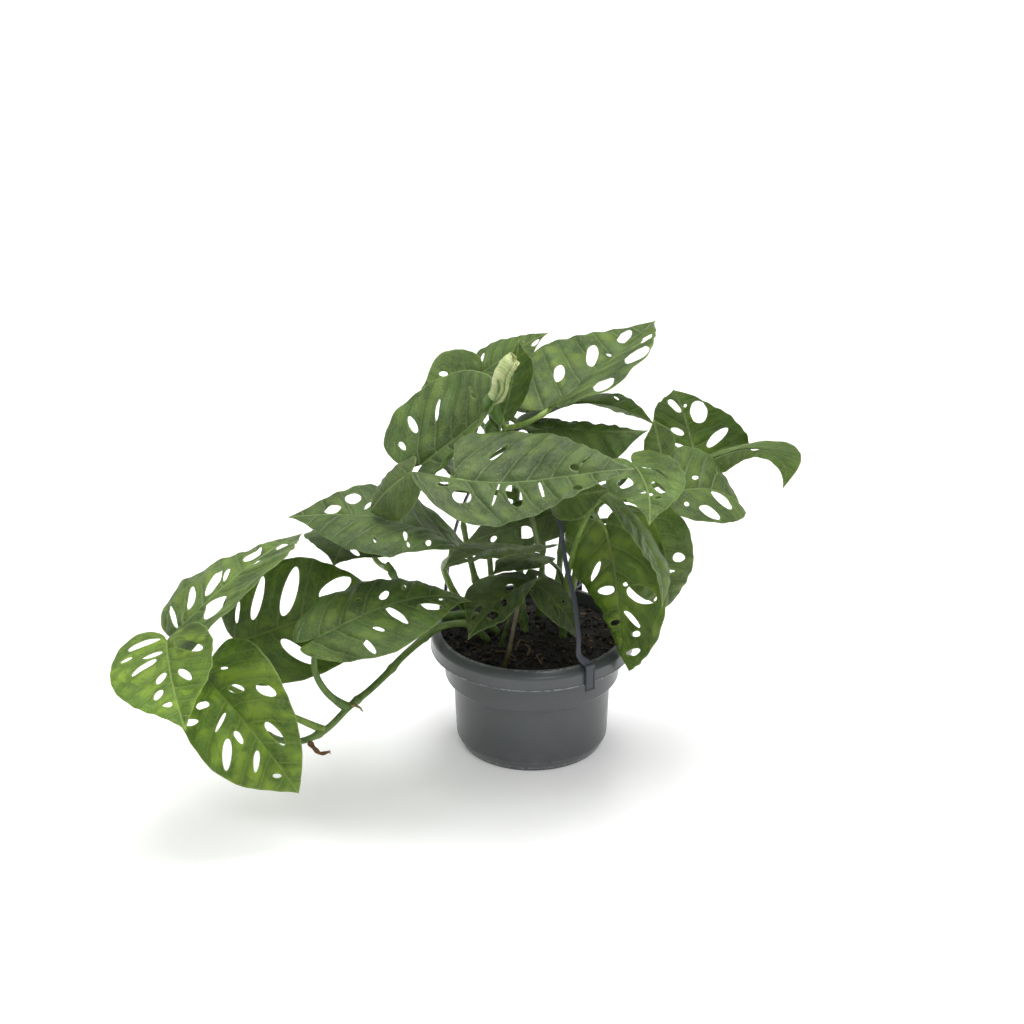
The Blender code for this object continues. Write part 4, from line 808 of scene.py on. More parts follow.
def within(pts, poly):
    """Which points lie inside a closed outline."""
    x, y = pts[:, 0:1], pts[:, 1:2]
    a, b = poly, np.roll(poly, -1, 0)
    cross = (a[:, 1] > y) != (b[:, 1] > y)
    with np.errstate(divide="ignore", invalid="ignore"):
        xi = (b[:, 0] - a[:, 0]) * (y - a[:, 1]) / (b[:, 1] - a[:, 1]) + a[:, 0]
    return (cross & (x < xi)).sum(1) % 2 == 1


def edge_gap(pts, line):
    """Distance of each point to the nearest point of a fine outline."""
    out = np.empty(len(pts))
    for i in range(0, len(pts), 2000):
        q = pts[i:i + 2000]
        out[i:i + 2000] = np.sqrt(((q[:, None] - line[None]) ** 2).sum(2)
                                  .min(1))
    return out


def surface(leaf, fr, xy, seed, quilt, edge_d):
    """Points and normals of the finished blade at xy (mm)."""
    pos, tan, left, up = fr
    n = len(pos) - 1
    length = leaf["length"]

    def at(xy):
        x, y = xy[:, 0], xy[:, 1]
        f = np.clip(x / length * n, 0, n - 1e-6)
        i = f.astype(int)
        w = (f - i)[:, None]
        p, l, u = (a[i] * (1 - w) + a[i + 1] * w for a in (pos, left, up))
        p = p + tan[0] * np.minimum(x, 0)[:, None]
        k = (y < 0).astype(int)
        wide = np.array(leaf["wide"], float)[k]
        fold = np.radians(np.array(leaf["fold"], float))[k]
        curl = np.radians(np.array(leaf["curl"], float))[k]
        curl = np.where(np.abs(curl) < 1e-3, 1e-3, curl)
        s = np.abs(y)
        yy = wide / curl * (np.sin(fold + curl * s / wide) - np.sin(fold))
        hh = wide / curl * (np.cos(fold) - np.cos(fold + curl * s / wide))
        return p + l * (np.sign(y) * yy)[:, None] + u * hh[:, None]

    p = at(xy)
    e = 0.25
    dx = at(xy + [e, 0]) - at(xy - [e, 0])
    dy = at(xy + [0, e]) - at(xy - [0, e])
    nor = unit(np.cross(dx, dy))
    x, y = xy[:, 0], xy[:, 1]
    wide = np.where(y >= 0, leaf["wide"][0], leaf["wide"][1])
    v = np.abs(y) / wide
    sp = 0.125 * length + 2.5
    phase = (x - 0.50 * np.abs(y) - 0.22 * np.abs(y) ** 2 / wide) / sp \
        + (0.18 if seed % 2 else 0.32) + np.where(y < 0, 0.37, 0.0)
    fr_ = phase - np.floor(phase)
    d = np.minimum(fr_, 1 - fr_) * sp * 0.85
    fade = np.clip((length - x) / (0.25 * length), 0, 1) \
        * np.clip((x + 0.12 * length) / (0.2 * length), 0, 1)
    pillow = (1 - np.exp(-(d / 2.7) ** 2)) * (1 - np.exp(-(y / 3.2) ** 2))
    cell = np.floor(phase) + 40 * (y < 0)
    lift = 0.75 + 0.55 * np.sin(cell * 2.399 + seed)
    h = quilt * 2.0 * lift * pillow * fade * np.clip(edge_d / 5.0, 0, 1) \
        * (1 - 0.75 * np.clip(v, 0, 1) ** 2)
    # broad pleats between the midrib and the margin
    h = h + quilt * 1.1 * np.sin(2 * math.pi * phase + 0.6) * fade \
        * np.clip(v * 1.6, 0, 1) * (1 - 0.85 * np.clip(v, 0, 1) ** 2)
    # margin waves and slow unevenness
    ph = seed * 1.7
    wave = np.sin(2 * math.pi * (x / length * 3.6 + 0.31 * seed) + ph) \
        + 0.6 * np.sin(2 * math.pi * (x / length * 7.3) + 2.1 * ph)
    h = h + 0.95 * quilt * wave * v ** 3 * np.where(y >= 0, 1, -0.8)
    slow = np.array([noise.noise((a / 26.0 + seed * 5.1, b / 26.0, seed * 0.7))
                     for a, b in xy])
    h = h + 2.2 * slow * np.clip(np.abs(y) / 10.0, 0, 1)
    crinkle = np.array([noise.noise((a / 7.5 + seed, b / 5.0, seed * 1.9))
                        for a, b in xy])
    h = h + 0.45 * quilt * crinkle * np.clip(edge_d / 3.0, 0, 1)
    # the midrib lies in a shallow groove
    h = h - 0.55 * np.exp(-(y / 1.5) ** 2) * np.clip(1 - x / length, 0, 1)
    return p + nor * h[:, None], nor, phase, v


def hole_line(hole, step):
    along, across, long, short, slant = hole
    s = math.radians(slant)
    n = max(12, int(2.4 * (long + short) / 2 / step * 1.3))
    a = np.linspace(0, 2 * math.pi, n, endpoint=False)
    u = long / 2 * np.cos(a)
    v = short / 2 * np.sin(a) * (1 - 0.12 * np.cos(a)) * 1.02
    return np.stack([along + u * math.cos(s) - v * math.sin(s),
                     across + u * math.sin(s) + v * math.cos(s)], 1)


def off_line(p, line):
    a, b = line[:-1], line[1:]
    ab = b - a
    t = np.clip(((p - a) * ab).sum(1) / np.maximum((ab * ab).sum(1), 1e-9), 0, 1)
    return np.linalg.norm(p - a - ab * t[:, None], axis=1).min()


STEM_LINES = {}
for sname, sr, spts in STEMS:
    sline = smooth_path(spts, 8)
    STEM_LINES[sname] = (sline, sr)


def add_leaf(leaf, seed):
    name = leaf["name"]
    look = LOOK[name]
    step = 1.75
    big = leaf["length"] > 80
    if not big:
        step *= 0.85
    fr = midrib(leaf)
    a = half_outline(leaf, 0, 40)
    b = half_outline(leaf, 1, 40)[-2:0:-1]
    edge = resample(np.concatenate([a, b]), step, closed=True)
    # slight irregularity of the margin
    c = edge.mean(0)
    wob = np.array([noise.noise((p[0] / 9.0, p[1] / 9.0, seed * 2.3))
                    for p in edge])
    d_tip = np.linalg.norm(edge - [leaf["length"], 0], axis=1)
    edge = edge + unit(edge - c) * (wob * 0.7 * np.clip(d_tip / 15, 0, 1)
                                    * np.clip(np.linalg.norm(edge, axis=1) / 15,
                                              0, 1))[:, None]
    holes = []
    for hole in leaf["holes"]:
        h = hole_line(hole, step)
        if within(h, edge).all() and edge_gap(h, edge).min() > 0.9:
            if all(not within(h, o).any() and not within(o, h).any()
                   and edge_gap(h, o).min() > 0.8 for o in holes):
                holes.append(h)
    loops = [edge] + holes
    bound = np.concatenate(loops)
    lo, hi = edge.min(0), edge.max(0)
    ys = np.arange(lo[1], hi[1], step * 0.866)
    grid = []
    for i, y in enumerate(ys):
        xs = np.arange(lo[0] + (step / 2 if i % 2 else 0), hi[0], step)
        grid.append(np.stack([xs, np.full(len(xs), y)], 1))
    grid = np.concatenate(grid)
    keep = within(grid, edge)
    for h in holes:
        keep &= ~within(grid, h)
    grid = grid[keep]
    grid = grid[edge_gap(grid, bound) > step * 0.62]
    pts = np.concatenate([bound, grid])
    segs, k = [], 0
    for loop in loops:
        n = len(loop)
        segs += [(k + i, k + (i + 1) % n) for i in range(n)]
        k += n
    verts, _, faces, *_ = delaunay_2d_cdt(
        [Vector(p) for p in pts], segs, [], 0, 1e-5)
    xy = np.array([(q.x, q.y) for q in verts])
    tri = np.array([f for f in faces if len(f) == 3])
    cen = xy[tri].mean(1)
    ok = within(cen, edge)
    for h in holes:
        ok &= ~within(cen, h)
    tri = tri[ok]
    e1, e2 = xy[tri[:, 1]] - xy[tri[:, 0]], xy[tri[:, 2]] - xy[tri[:, 0]]
    area = e1[:, 0] * e2[:, 1] - e1[:, 1] * e2[:, 0]
    tri = tri[np.abs(area) > 1e-4]
    area = area[np.abs(area) > 1e-4]
    tri = np.where((area > 0)[:, None], tri, tri[:, ::-1])
    used = np.unique(tri)
    back = np.full(len(xy), -1)
    back[used] = np.arange(len(used))
    xy, tri = xy[used], back[tri]
    gap = edge_gap(xy, bound)
    rim = edge_gap(xy, edge)
    p, nor, phase, v = surface(leaf, fr, xy, seed, look[4], rim)
    th = 0.26 * np.clip(0.55 + gap / 2.0, 0.55, 1.0)[:, None]
    top, bot = p + nor * th, p - nor * th
    lx = np.stack([xy[:, 0] / 100, xy[:, 1] / 100, gap / 100], 1)
    lv = np.stack([phase, v, xy[:, 0] / leaf["length"]], 1)
    # the border edges belong to one triangle only
    ed = np.concatenate([tri[:, [0, 1]], tri[:, [1, 2]], tri[:, [2, 0]]])
    key = {(x, y) for x, y in ed.tolist()}
    border = np.array([(x, y) for x, y in key if (y, x) not in key])
    n = len(xy)
    rimq = np.stack([border[:, 0], border[:, 0] + n, border[:, 1] + n,
                     border[:, 1]], 1)
    b_ = Build()
    b_.add(np.concatenate([top, bot]), [tri], 0,
           np.concatenate([lx, lx]), np.concatenate([lv, lv]))
    b_.f += (tri[:, ::-1] + n).tolist()
    b_.mi += [1] * len(tri)
    b_.f += rimq.tolist()
    b_.mi += [1] * len(rimq)
    # the ridge of the midrib on the underside, down from the stalk
    anchor, r, c1, c2, end = leaf["stalk"]
    xs = np.linspace(0.0, leaf["length"] * 0.93, 40)
    line = np.stack([xs, np.zeros(40)], 1)
    mp, mn, _, _ = surface(leaf, fr, line, seed, look[4], np.full(40, 9.0))
    mr = np.interp(xs / leaf["length"], [0, 0.06, 0.3, 1.0],
                   [0.95 * r, 0.62 * r, 0.40 * r, 0.14 * r])
    sv, sf = sweep(mp - mn * (mr * 0.55 + 0.05)[:, None], mr, 8)
    b_.add(sv, sf, 2)
    # the stalk, swollen under the blade and sheathed at its foot
    pos, tan, left, up = (q[0] for q in fr)
    under = pos - up * (0.9 * r)
    fine = bezier(under, c1, c2, end, 90)
    if anchor in STEM_LINES:
        line, rs = STEM_LINES[anchor]
        k = 8
        while k < 90 and off_line(fine[k], line) > rs * 0.45:
            k += 1
        fine = fine[:k + 1]
    else:
        fine = np.concatenate([fine, [fine[-1] + unit(fine[-1] - fine[-2]) * 6]])
    seg = np.concatenate([[0], np.cumsum(np.linalg.norm(np.diff(fine, axis=0),
                                                        axis=1))])
    total = seg[-1]
    q = np.concatenate([[0.0], np.linspace(2.0, total, int(total / 3.0) + 4)])
    path = np.stack([np.interp(q, seg, fine[:, i]) for i in range(3)], 1)
    # leaves the underside a little inside the blade
    path = np.concatenate([[under + tan * 7 + up * 0.55 * r,
                            under + tan * 3.5 + up * 0.25 * r], path])
    q = np.concatenate([[-7.0, -3.5], q])
    u = np.clip(q / total, 0, 1)
    rad = r * (0.98 + 0.22 * u)
    rad *= 1 + 0.34 * np.exp(-((q - 5.0) / 5.5) ** 2)     # the swelling
    rad *= 1 + 0.38 * np.clip((u - 0.80) / 0.20, 0, 1)    # the sheath
    rad *= np.interp(q, [-7, 0, 4], [0.45, 0.9, 1.0])
    jig = np.array([[noise.noise((s / 34.0, seed * 3.0, j * 9.0))
                     for j in range(3)] for s in q])
    path = path + jig * (np.clip(q / 20, 0, 1) * np.clip((total - q) / 15, 0, 1)
                         * 0.8)[:, None]
    cross_a = np.linspace(0, 2 * math.pi, 12, endpoint=False)
    groove = 1 - 0.13 * np.exp(-((cross_a - math.pi / 2) / 0.5) ** 2)
    cross = np.stack([np.cos(cross_a) * groove, np.sin(cross_a) * groove], 1)
    sv, sf = sweep(path, rad, cross=cross)
    b_.add(sv, sf, 2)
    top_m = leaf_material(name + "_top", look, False, seed)
    bot_m = leaf_material(name + "_under", look, True, seed)
    ob = b_.make("vis_" + name, [top_m, bot_m, SHADED.get(
        name, STALK[seed % len(STALK)])])
    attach(ob, "root")
    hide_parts(name)
    return ob


def done(ob, node):
    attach(ob, "root")
    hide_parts(node)
    return ob


STALK = [
    stalk_material("stalk_a", lin(112, 138, 62), lin(84, 112, 46), 0.3),
    stalk_material("stalk_b", lin(134, 156, 78), lin(98, 124, 54), 1.1),
    stalk_material("stalk_c", lin(98, 124, 58), lin(70, 98, 42), 2.3),
]

# stalks that stand low in the shade are darker, one of them is browned
low_stalk = stalk_material("stalk_low", lin(76, 96, 44), lin(54, 70, 32), 3.4)
SHADED = {"leaf_low_left": stalk_material("stalk_browned", lin(76, 74, 44),
                                          lin(52, 46, 28), 5.6)}
for low in ("leaf_low_right", "leaf_centre_low", "leaf_centre_twisted",
            "leaf_centre_shaded", "leaf_behind_arched"):
    SHADED[low] = low_stalk

for i, leaf in enumerate(LEAVES):
    add_leaf(leaf, i + 1)

# -------------------------------------------------------------------- stems
stem_mat = stalk_material("stem_skin", lin(104, 128, 64), lin(74, 98, 46), 4.2)
for sname, sr, spts in STEMS:
    line = smooth_path(spts, 14)
    seg = np.concatenate([[0], np.cumsum(np.linalg.norm(np.diff(line, axis=0),
                                                        axis=1))])
    foot = line[0].copy()
    foot[2] = soil_z(foot[0], foot[1]) - 6
    line = np.concatenate([[foot], line])
    seg = np.concatenate([[0], seg + 6])
    total = seg[-1]
    rad = sr * (1 - 0.25 * seg / total)
    # rings and swellings where leaves have grown
    gap = 44.0 if sname == "stem_left_trailing" else 27.0
    k = gap * 0.6
    while k < total:
        rad *= 1 + 0.26 * np.exp(-((seg - k) / 2.6) ** 2) \
            + 0.10 * np.exp(-((seg - k) / 7.0) ** 2)
        k += gap
    rad *= np.interp(seg, [0, total - 5, total], [1, 1, 0.55])
    b_ = Build()
    sv, sf = sweep(line, rad, 16)
    b_.add(sv, sf, 0)
    done(b_.make("vis_" + sname, [stem_mat], attrs=False), sname)

# ----------------------------------------------------- the rolled new leaf
roll_m = Nodes("rolled_leaf")
tc = roll_m.node("TexCoord", out=3)
rc = roll_m.mix(roll_m.ramp(roll_m.noise(tc, 70.0, 4.0), 0.35, 0.7),
                lin(190, 202, 142), lin(158, 178, 104))
sp_ = roll_m.nt.nodes.new("ShaderNodeSeparateXYZ")
roll_m.nt.links.new(tc, sp_.inputs[0])
band = roll_m.node("TexWave", inputs={"Vector": tc, "Scale": 150.0,
                                      "Distortion": 2.0, "Detail": 2.0},
                   bands_direction="DIAGONAL")
rc = roll_m.mix(roll_m.math("MULTIPLY", roll_m.ramp(band, 0.75, 0.98), 0.45),
                rc, lin(214, 220, 176))
roll_mat = roll_m.finish(roll_m.principled(
    rc, roll_m.ramp(roll_m.noise(tc, 200.0), 0.3, 0.7, 0.32, 0.5),
    roll_m.bump(roll_m.math("ADD", roll_m.math("MULTIPLY", band, -0.5),
                            roll_m.noise(tc, 600.0)), 0.4, 0.0004),
    Subsurface_Weight=0.2, Subsurface_Scale=0.003))
rr = np.array(ROLLED_R, float)
line = smooth_path(ROLLED, 10)
rad = np.interp(np.arange(len(line)) / 10.0, np.arange(len(rr)), rr)
lean = np.clip((np.arange(len(line)) / 10.0 - 4.0) / 2.0, 0, 1)[:, None]
line = line + np.array([1.5, -10.5, 5.0]) * lean * lean * (3 - 2 * lean)
b_ = Build()
sv, sf = sweep(line[:66], np.minimum(rad[:66], 2.6), 12)
b_.add(sv, sf, 1)
# the sheath that it comes out of, and the swollen one beside it
sv, sf = sweep(line[28:56], np.interp(np.linspace(0, 1, 28),
               [0, 0.25, 0.6, 0.85, 1.0], [2.4, 4.3, 6.4, 6.9, 6.1]), 24)
b_.add(sv, sf, 2)
bud = smooth_path([(-30, 2, 276), (-33, 0, 283), (-34, -2, 290),
                   (-31, -4, 298), (-28, -8, 304)], 8)
sv, sf = sweep(bud, np.interp(np.linspace(0, 1, len(bud)),
               [0, 0.25, 0.5, 0.75, 1.0], [1.8, 5.0, 6.0, 4.2, 1.8]), 24)
b_.add(sv, sf, 2)
# one and a half turns of blade, wider in the middle, with ragged ends
axis = line[50:]
na, nu = 84, 44
a = np.linspace(0, 1, na)
ang = 0.6 + a * 2.9 * math.pi
u = np.linspace(0, 1, nu)
lo = 0.06 + 0.07 * np.sin(a * 11.0) + 0.05 * np.sin(a * 27.0)
hi = 0.97 - 0.05 * np.sin(a * 9.0 + 1.0) - 0.03 * np.sin(a * 31.0)
fx = np.linspace(0, 1, len(axis))
tan = unit(np.gradient(axis, axis=0))
ref = np.array([0.0, -0.9, 0.45])
sheets = []
for inset in (0.0, 0.5):
    rows = []
    for k in range(nu):
        q = lo + (hi - lo) * u[k]
        c = np.stack([np.interp(q, fx, axis[:, j]) for j in range(3)], 1)
        t = unit(np.stack([np.interp(q, fx, tan[:, j]) for j in range(3)], 1))
        o = unit(ref - (t @ ref)[:, None] * t)
        w = np.cross(t, o)
        r_ = (8.0 * np.interp(q, [0, 0.15, 0.45, 0.8, 1.0],
                              [0.72, 0.92, 1.0, 0.97, 0.80])
              * (1 - 0.30 * a) + 0.22 * np.sin(q * 40.0 + a * 9.0) - inset)
        rows.append(c + o * (np.cos(ang) * r_)[:, None]
                    + w * (np.sin(ang) * r_)[:, None])
    sheets.append(np.array(rows).reshape(-1, 3))
n = nu * na
i_ = np.arange(nu - 1)[:, None] * na + np.arange(na - 1)[None]
q1 = np.stack([i_, i_ + 1, i_ + na + 1, i_ + na], -1).reshape(-1, 4)
rim = list(range(na)) + [k * na + na - 1 for k in range(1, nu)] \
    + [(nu - 1) * na + k for k in range(na - 2, -1, -1)] \
    + [k * na for k in range(nu - 2, 0, -1)]
rq = np.array([(rim[k], rim[k] + n, rim[(k + 1) % len(rim)] + n,
                rim[(k + 1) % len(rim)]) for k in range(len(rim))])
b_.add(np.concatenate(sheets), [q1, q1[:, ::-1] + n, rq], 0)
done(b_.make("vis_leaf_new_rolled",
             [roll_mat, STALK[1],
              stalk_material("sheath_green", lin(92, 122, 54),
                             lin(66, 94, 40), 7.7)], attrs=False),
     "leaf_new_rolled")

# -------------------------------------------- aerial root and dried sheath
root_m = fibre_material("root_skin", lin(150, 140, 92), lin(104, 88, 52))
dry_m = fibre_material("dried_sheath_skin", lin(120, 86, 52), lin(70, 46, 28))
for name, r, pts in SMALL:
    line = smooth_path(pts, 8)
    s = np.linspace(0, 1, len(line))
    b_ = Build()
    if name == "root_aerial":
        sv, sf = sweep(line, r * (1 - 0.55 * s), 10)
        b_.add(sv, sf, 0)
        for k in range(5):
            q = line[-1] + np.array([0.6 * k - 1, -0.5 + 0.3 * k, -1.5 - k * 0.5])
            sv, sf = sweep([line[-3], (line[-3] + q) / 2 + [0.3, -0.4, 0.2], q],
                           [0.5, 0.4, 0.15], 6)
            b_.add(sv, sf, 0)
        ob = b_.make("vis_" + name, [root_m], attrs=False)
    else:
        wav = 1 + 0.2 * np.sin(s * 17.0)
        sv, sf = sweep(line, np.stack([r * 1.25 * (1 - 0.5 * s) * wav,
                                       r * 0.45 * (1 - 0.3 * s)], 1), 12)
        b_.add(sv, sf, 0)
        for k in range(7):
            q = line[-1] + np.array([2.2 + 0.9 * math.sin(k * 2.1),
                                     1.6 * math.cos(k * 1.7), -2.4 + 0.7 * k])
            sv, sf = sweep([line[-4 - k], (line[-1] + q) / 2 + [0, 0, 0.8], q],
                           [0.55, 0.35, 0.1], 6)
            b_.add(sv, sf, 0)
        ob = b_.make("vis_" + name, [dry_m], attrs=False)
    done(ob, name)


# ---------------------------------------------------------------------- pot
def rounded(profile, keep=0.34, n=3):
    """Rounds the corners of a profile of (r, z)."""
    p = np.array(profile, float)
    out = [p[0]]
    for a, b, c in zip(p, p[1:], p[2:]):
        la, lc = np.linalg.norm(a - b), np.linalg.norm(c - b)
        d = min(la * keep, lc * keep, 1.2)
        q0, q1 = b + (a - b) / la * d, b + (c - b) / lc * d
        for t in np.linspace(0, 1, n + 1):
            out.append(q0 * (1 - t) ** 2 + b * 2 * t * (1 - t) + q1 * t * t)
    out.append(p[-1])
    return np.array(out)


outer = [(POT_LIP_IN_R, POT_LIP_Z - 1.0), (POT_LIP_IN_R + 1.0, POT_LIP_Z),
         (80.0, POT_LIP_Z - 0.9), (83.6, POT_RIM_BAND_Z + 1.6),
         (POT_RIM_R, POT_RIM_BAND_Z - 0.6), (POT_RIM_R, 91.6),
         (POT_RIM_R + 0.4, 90.6), (POT_RIM_R + 0.2, POT_RIM_UNDER_Z),
         (POT_RIM_R - 1.2, POT_RIM_UNDER_Z), (POT_RIM_R - 1.4, 99.6),
         (80.0, 102.2), (78.2, 100.5), (77.8, 92.5),
         (POT_SHOULDER_R, 88.0), (POT_SHOULDER_R - 0.8, POT_LEDGE_Z + 3),
         (POT_SHOULDER_R - 2.2, POT_LEDGE_Z + 1.2),
         (POT_BODY_TOP_R, POT_LEDGE_Z), (63.6, 9.0), (60.2, 3.0),
         (POT_FOOT_R - 0.8, 0.0), (0.0, 0.0)]
inner = [(0.0, POT_FLOOR), (58.6, POT_FLOOR), (62.2, 9.5),
         (POT_BODY_TOP_R - POT_WALL, POT_LEDGE_Z + 1.2),
         (POT_SHOULDER_R - 2.6, POT_LEDGE_Z + 3.6),
         (POT_SHOULDER_R - POT_WALL, 88.6), (POT_LIP_IN_R - 0.1, 93.2)]


def turned(profile, steps, name):
    mesh = bpy.data.meshes.new(name)
    mesh.from_pydata([(r * MM, 0, z * MM) for r, z in profile],
                     [(i, i + 1) for i in range(len(profile) - 1)], [])
    ob = bpy.data.objects.new(name, mesh)
    bpy.context.scene.collection.objects.link(ob)
    mod = ob.modifiers.new("turn", "SCREW")
    mod.steps = mod.render_steps = steps
    mod.use_merge_vertices = True
    mod.merge_threshold = 0.00001
    bpy.context.view_layer.update()
    dg = bpy.context.evaluated_depsgraph_get()
    out = bpy.data.meshes.new_from_object(ob.evaluated_get(dg))
    bpy.data.objects.remove(ob, do_unlink=True)
    return out


prof = rounded(inner + outer)
pot_mesh = turned(prof, 128, "vis_pot")
pot = bpy.data.objects.new("vis_pot", pot_mesh)
bpy.context.scene.collection.objects.link(pot)
drills = bmesh.new()
for i in range(6):
    a = 2 * math.pi * (i + 0.47) / 6
    got = bmesh.ops.create_cone(drills, cap_ends=True, segments=32,
                                radius1=4 * MM, radius2=4 * MM, depth=8 * MM)
    bmesh.ops.translate(drills, verts=got["verts"], vec=Vector(
        (42 * math.cos(a), 42 * math.sin(a), 1)) * MM)
dm = bpy.data.meshes.new("drills")
drills.to_mesh(dm)
drills.free()
dob = bpy.data.objects.new("drills", dm)
bpy.context.scene.collection.objects.link(dob)
mod = pot.modifiers.new("holes", "BOOLEAN")
mod.object = dob
mod.solver = "EXACT"
bpy.context.view_layer.update()
cut = bpy.data.meshes.new_from_object(
    pot.evaluated_get(bpy.context.evaluated_depsgraph_get()))
pot.modifiers.clear()
pot.data = cut
bpy.data.objects.remove(dob, do_unlink=True)
cut.materials.clear()
cut.materials.append(plastic_material("pot_plastic", lin(72, 75, 77),
                                      lin(89, 91, 93), 0.7, 0.34, True))
cut.shade_smooth()
cut.set_sharp_from_angle(angle=math.radians(50))
done(pot, "pot")

# --------------------------------------------------------------------- soil
random.seed(11)
b_ = Build()
rings, sides = ((76, 220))
rs_ = np.linspace(0, 75.9, rings)[1:]
verts = [(0.0, 0.0, SOIL_MID_Z)]
for r in rs_:
    for j in range(sides):
        a = 2 * math.pi * j / sides
        x, y = r * math.cos(a), r * math.sin(a)
        z = soil_z(x, y)
        n1 = noise.noise((x / 14.0, y / 14.0, 2.0)) * 1.6
        n2 = noise.noise((x / 4.2, y / 4.2, 7.0)) * 1.3
        n3 = abs(noise.noise((x / 1.9, y / 1.9, 4.0))) * 1.5
        z += (n1 + n2 + n3 - 0.8) * min(1.0, (76.2 - r) / 5.0 + 0.25)
        verts.append((x, y, z))
faces4, faces3 = [], []
for j in range(sides):
    faces3.append((0, 1 + j, 1 + (j + 1) % sides))
for i in range(len(rs_) - 1):
    for j in range(sides):
        k, kn = 1 + i * sides, 1 + (i + 1) * sides
        jn = (j + 1) % sides
        faces4.append((k + j, kn + j, kn + jn, k + jn))
# skirt inside the pot, closed under the surface
low = len(verts)
for j in range(sides):
    a = 2 * math.pi * j / sides
    verts.append((75.6 * math.cos(a), 75.6 * math.sin(a), 93.4))
for j in range(sides):
    a = 2 * math.pi * j / sides
    verts.append((72.2 * math.cos(a), 72.2 * math.sin(a), 87.0))
last = 1 + (len(rs_) - 1) * sides
for j in range(sides):
    jn = (j + 1) % sides
    faces4.append((last + j, low + j, low + jn, last + jn))
    faces4.append((low + j, low + sides + j, low + sides + jn, low + jn))
bowl = [(71.0, 66.0), (64.2, 63.0), (61.6, 9.8), (58.0, 2.2)]
prev = low + sides
for r, z in bowl:
    k = len(verts)
    for j in range(sides):
        a = 2 * math.pi * j / sides
        verts.append((r * math.cos(a), r * math.sin(a), z))
    for j in range(sides):
        jn = (j + 1) % sides
        faces4.append((prev + j, k + j, k + jn, prev + jn))
    prev = k
verts.append((0, 0, 2.2))
for j in range(sides):
    faces3.append((len(verts) - 1, prev + (j + 1) % sides, prev + j))
b_.add(verts, [np.array(faces4), np.array(faces3)], 0)
# crumbs, bark chips and light fibres lying on it
for k in range(420):
    r, a = 74 * math.sqrt(random.random()), random.uniform(0, 2 * math.pi)
    x, y = r * math.cos(a), r * math.sin(a)
    z = soil_z(x, y) + 0.4
    s = random.uniform(0.7, 2.1)
    d = np.array([random.gauss(0, 1), random.gauss(0, 1), random.gauss(0, 0.4)])
    d = unit(d) * s * random.uniform(0.8, 2.0)
    sv, sf = sweep([np.array([x, y, z]) - d, np.array([x, y, z]) - d * 0.4,
                    np.array([x, y, z + 0.4]) + d * 0.4,
                    np.array([x, y, z]) + d],
                   [[s * 0.45, s * 0.3], [s, s * 0.55],
                    [s * 0.8, s * 0.6], [s * 0.3, s * 0.25]],
                   6, ref=(random.gauss(0, 1), random.gauss(0, 1), 1.5))
    b_.add(sv, sf, 1 if random.random() < 0.22 else 0)
for k in range(44):
    r, a = 70 * math.sqrt(random.random()), random.uniform(0, 2 * math.pi)
    x, y = r * math.cos(a), r * math.sin(a)
    z = soil_z(x, y) + 1.1
    h = random.uniform(0, 2 * math.pi)
    line = [np.array([x, y, z])]
    for q in range(random.randint(4, 9)):
        h += random.gauss(0, 0.55)
        n_ = line[-1] + [2.2 * math.cos(h), 2.2 * math.sin(h),
                         random.gauss(0, 0.35)]
        if math.hypot(n_[0], n_[1]) > 74:
            break
        n_[2] = soil_z(n_[0], n_[1]) + 0.9 + abs(random.gauss(0, 0.5))
        line.append(n_)
    if len(line) > 2:
        sv, sf = sweep(smooth_path(line, 3),
                       np.full(3 * (len(line) - 1) + 1,
                               random.uniform(0.12, 0.28)), 6)
        b_.add(sv, sf, 2)
# a few stout pieces of old root near the stems
for pts, r in (([(-4, -38, 99), (-2, -30, 101), (-6, -22, 100.5)], 1.3),
               ([(8, -52, 98), (4, -44, 101), (7, -36, 99)], 1.0),
               ([(-14, -28, 98), (-10, -20, 103), (-3, -16, 99)], 1.1),
               ([(-30, -30, 98), (-22, -34, 100), (-14, -42, 98.5)], 0.9)):
    line = smooth_path(pts, 6)
    sv, sf = sweep(line, np.linspace(r, r * 0.6, len(line)), 8)
    b_.add(sv, sf, 2)
soil = b_.make("vis_soil", [soil_material(),
                            fibre_material("bark_chip", lin(44, 31, 21),
                                           lin(22, 15, 11)),
                            fibre_material("root_fibre", lin(96, 78, 50),
                                           lin(54, 40, 26))], attrs=False)
done(soil, "soil")

# ------------------------------------------------------------------- hanger
hang = plastic_material("hanger_plastic", lin(46, 50, 57), lin(66, 71, 79),
                        2.2, 0.36)
flat = []
for k in range(20):
    a = 2 * math.pi * k / 20
    c_, s_ = math.cos(a), math.sin(a)
    flat.append((math.copysign(abs(c_) ** 0.45, c_),
                 math.copysign(abs(s_) ** 0.7, s_)))


def chunk(size, centre, turn, bevel):
    bm = bmesh.new()
    bmesh.ops.create_cube(bm, size=1.0)
    bmesh.ops.scale(bm, vec=Vector(size), verts=bm.verts)
    bmesh.ops.bevel(bm, geom=list(bm.edges), offset=bevel, segments=3,
                    profile=0.5, affect="EDGES")
    bmesh.ops.translate(bm, vec=Vector(centre), verts=bm.verts)
    bmesh.ops.rotate(bm, cent=(0, 0, 0), verts=bm.verts,
                     matrix=Matrix.Rotation(turn, 3, "Z"))
    v = [tuple(q.co) for q in bm.verts]
    f = {}
    for q in bm.faces:
        f.setdefault(len(q.verts), []).append([w.index for w in q.verts])
    bm.verts.index_update()
    bm.free()
    return v, [np.array(x) for x in f.values()]


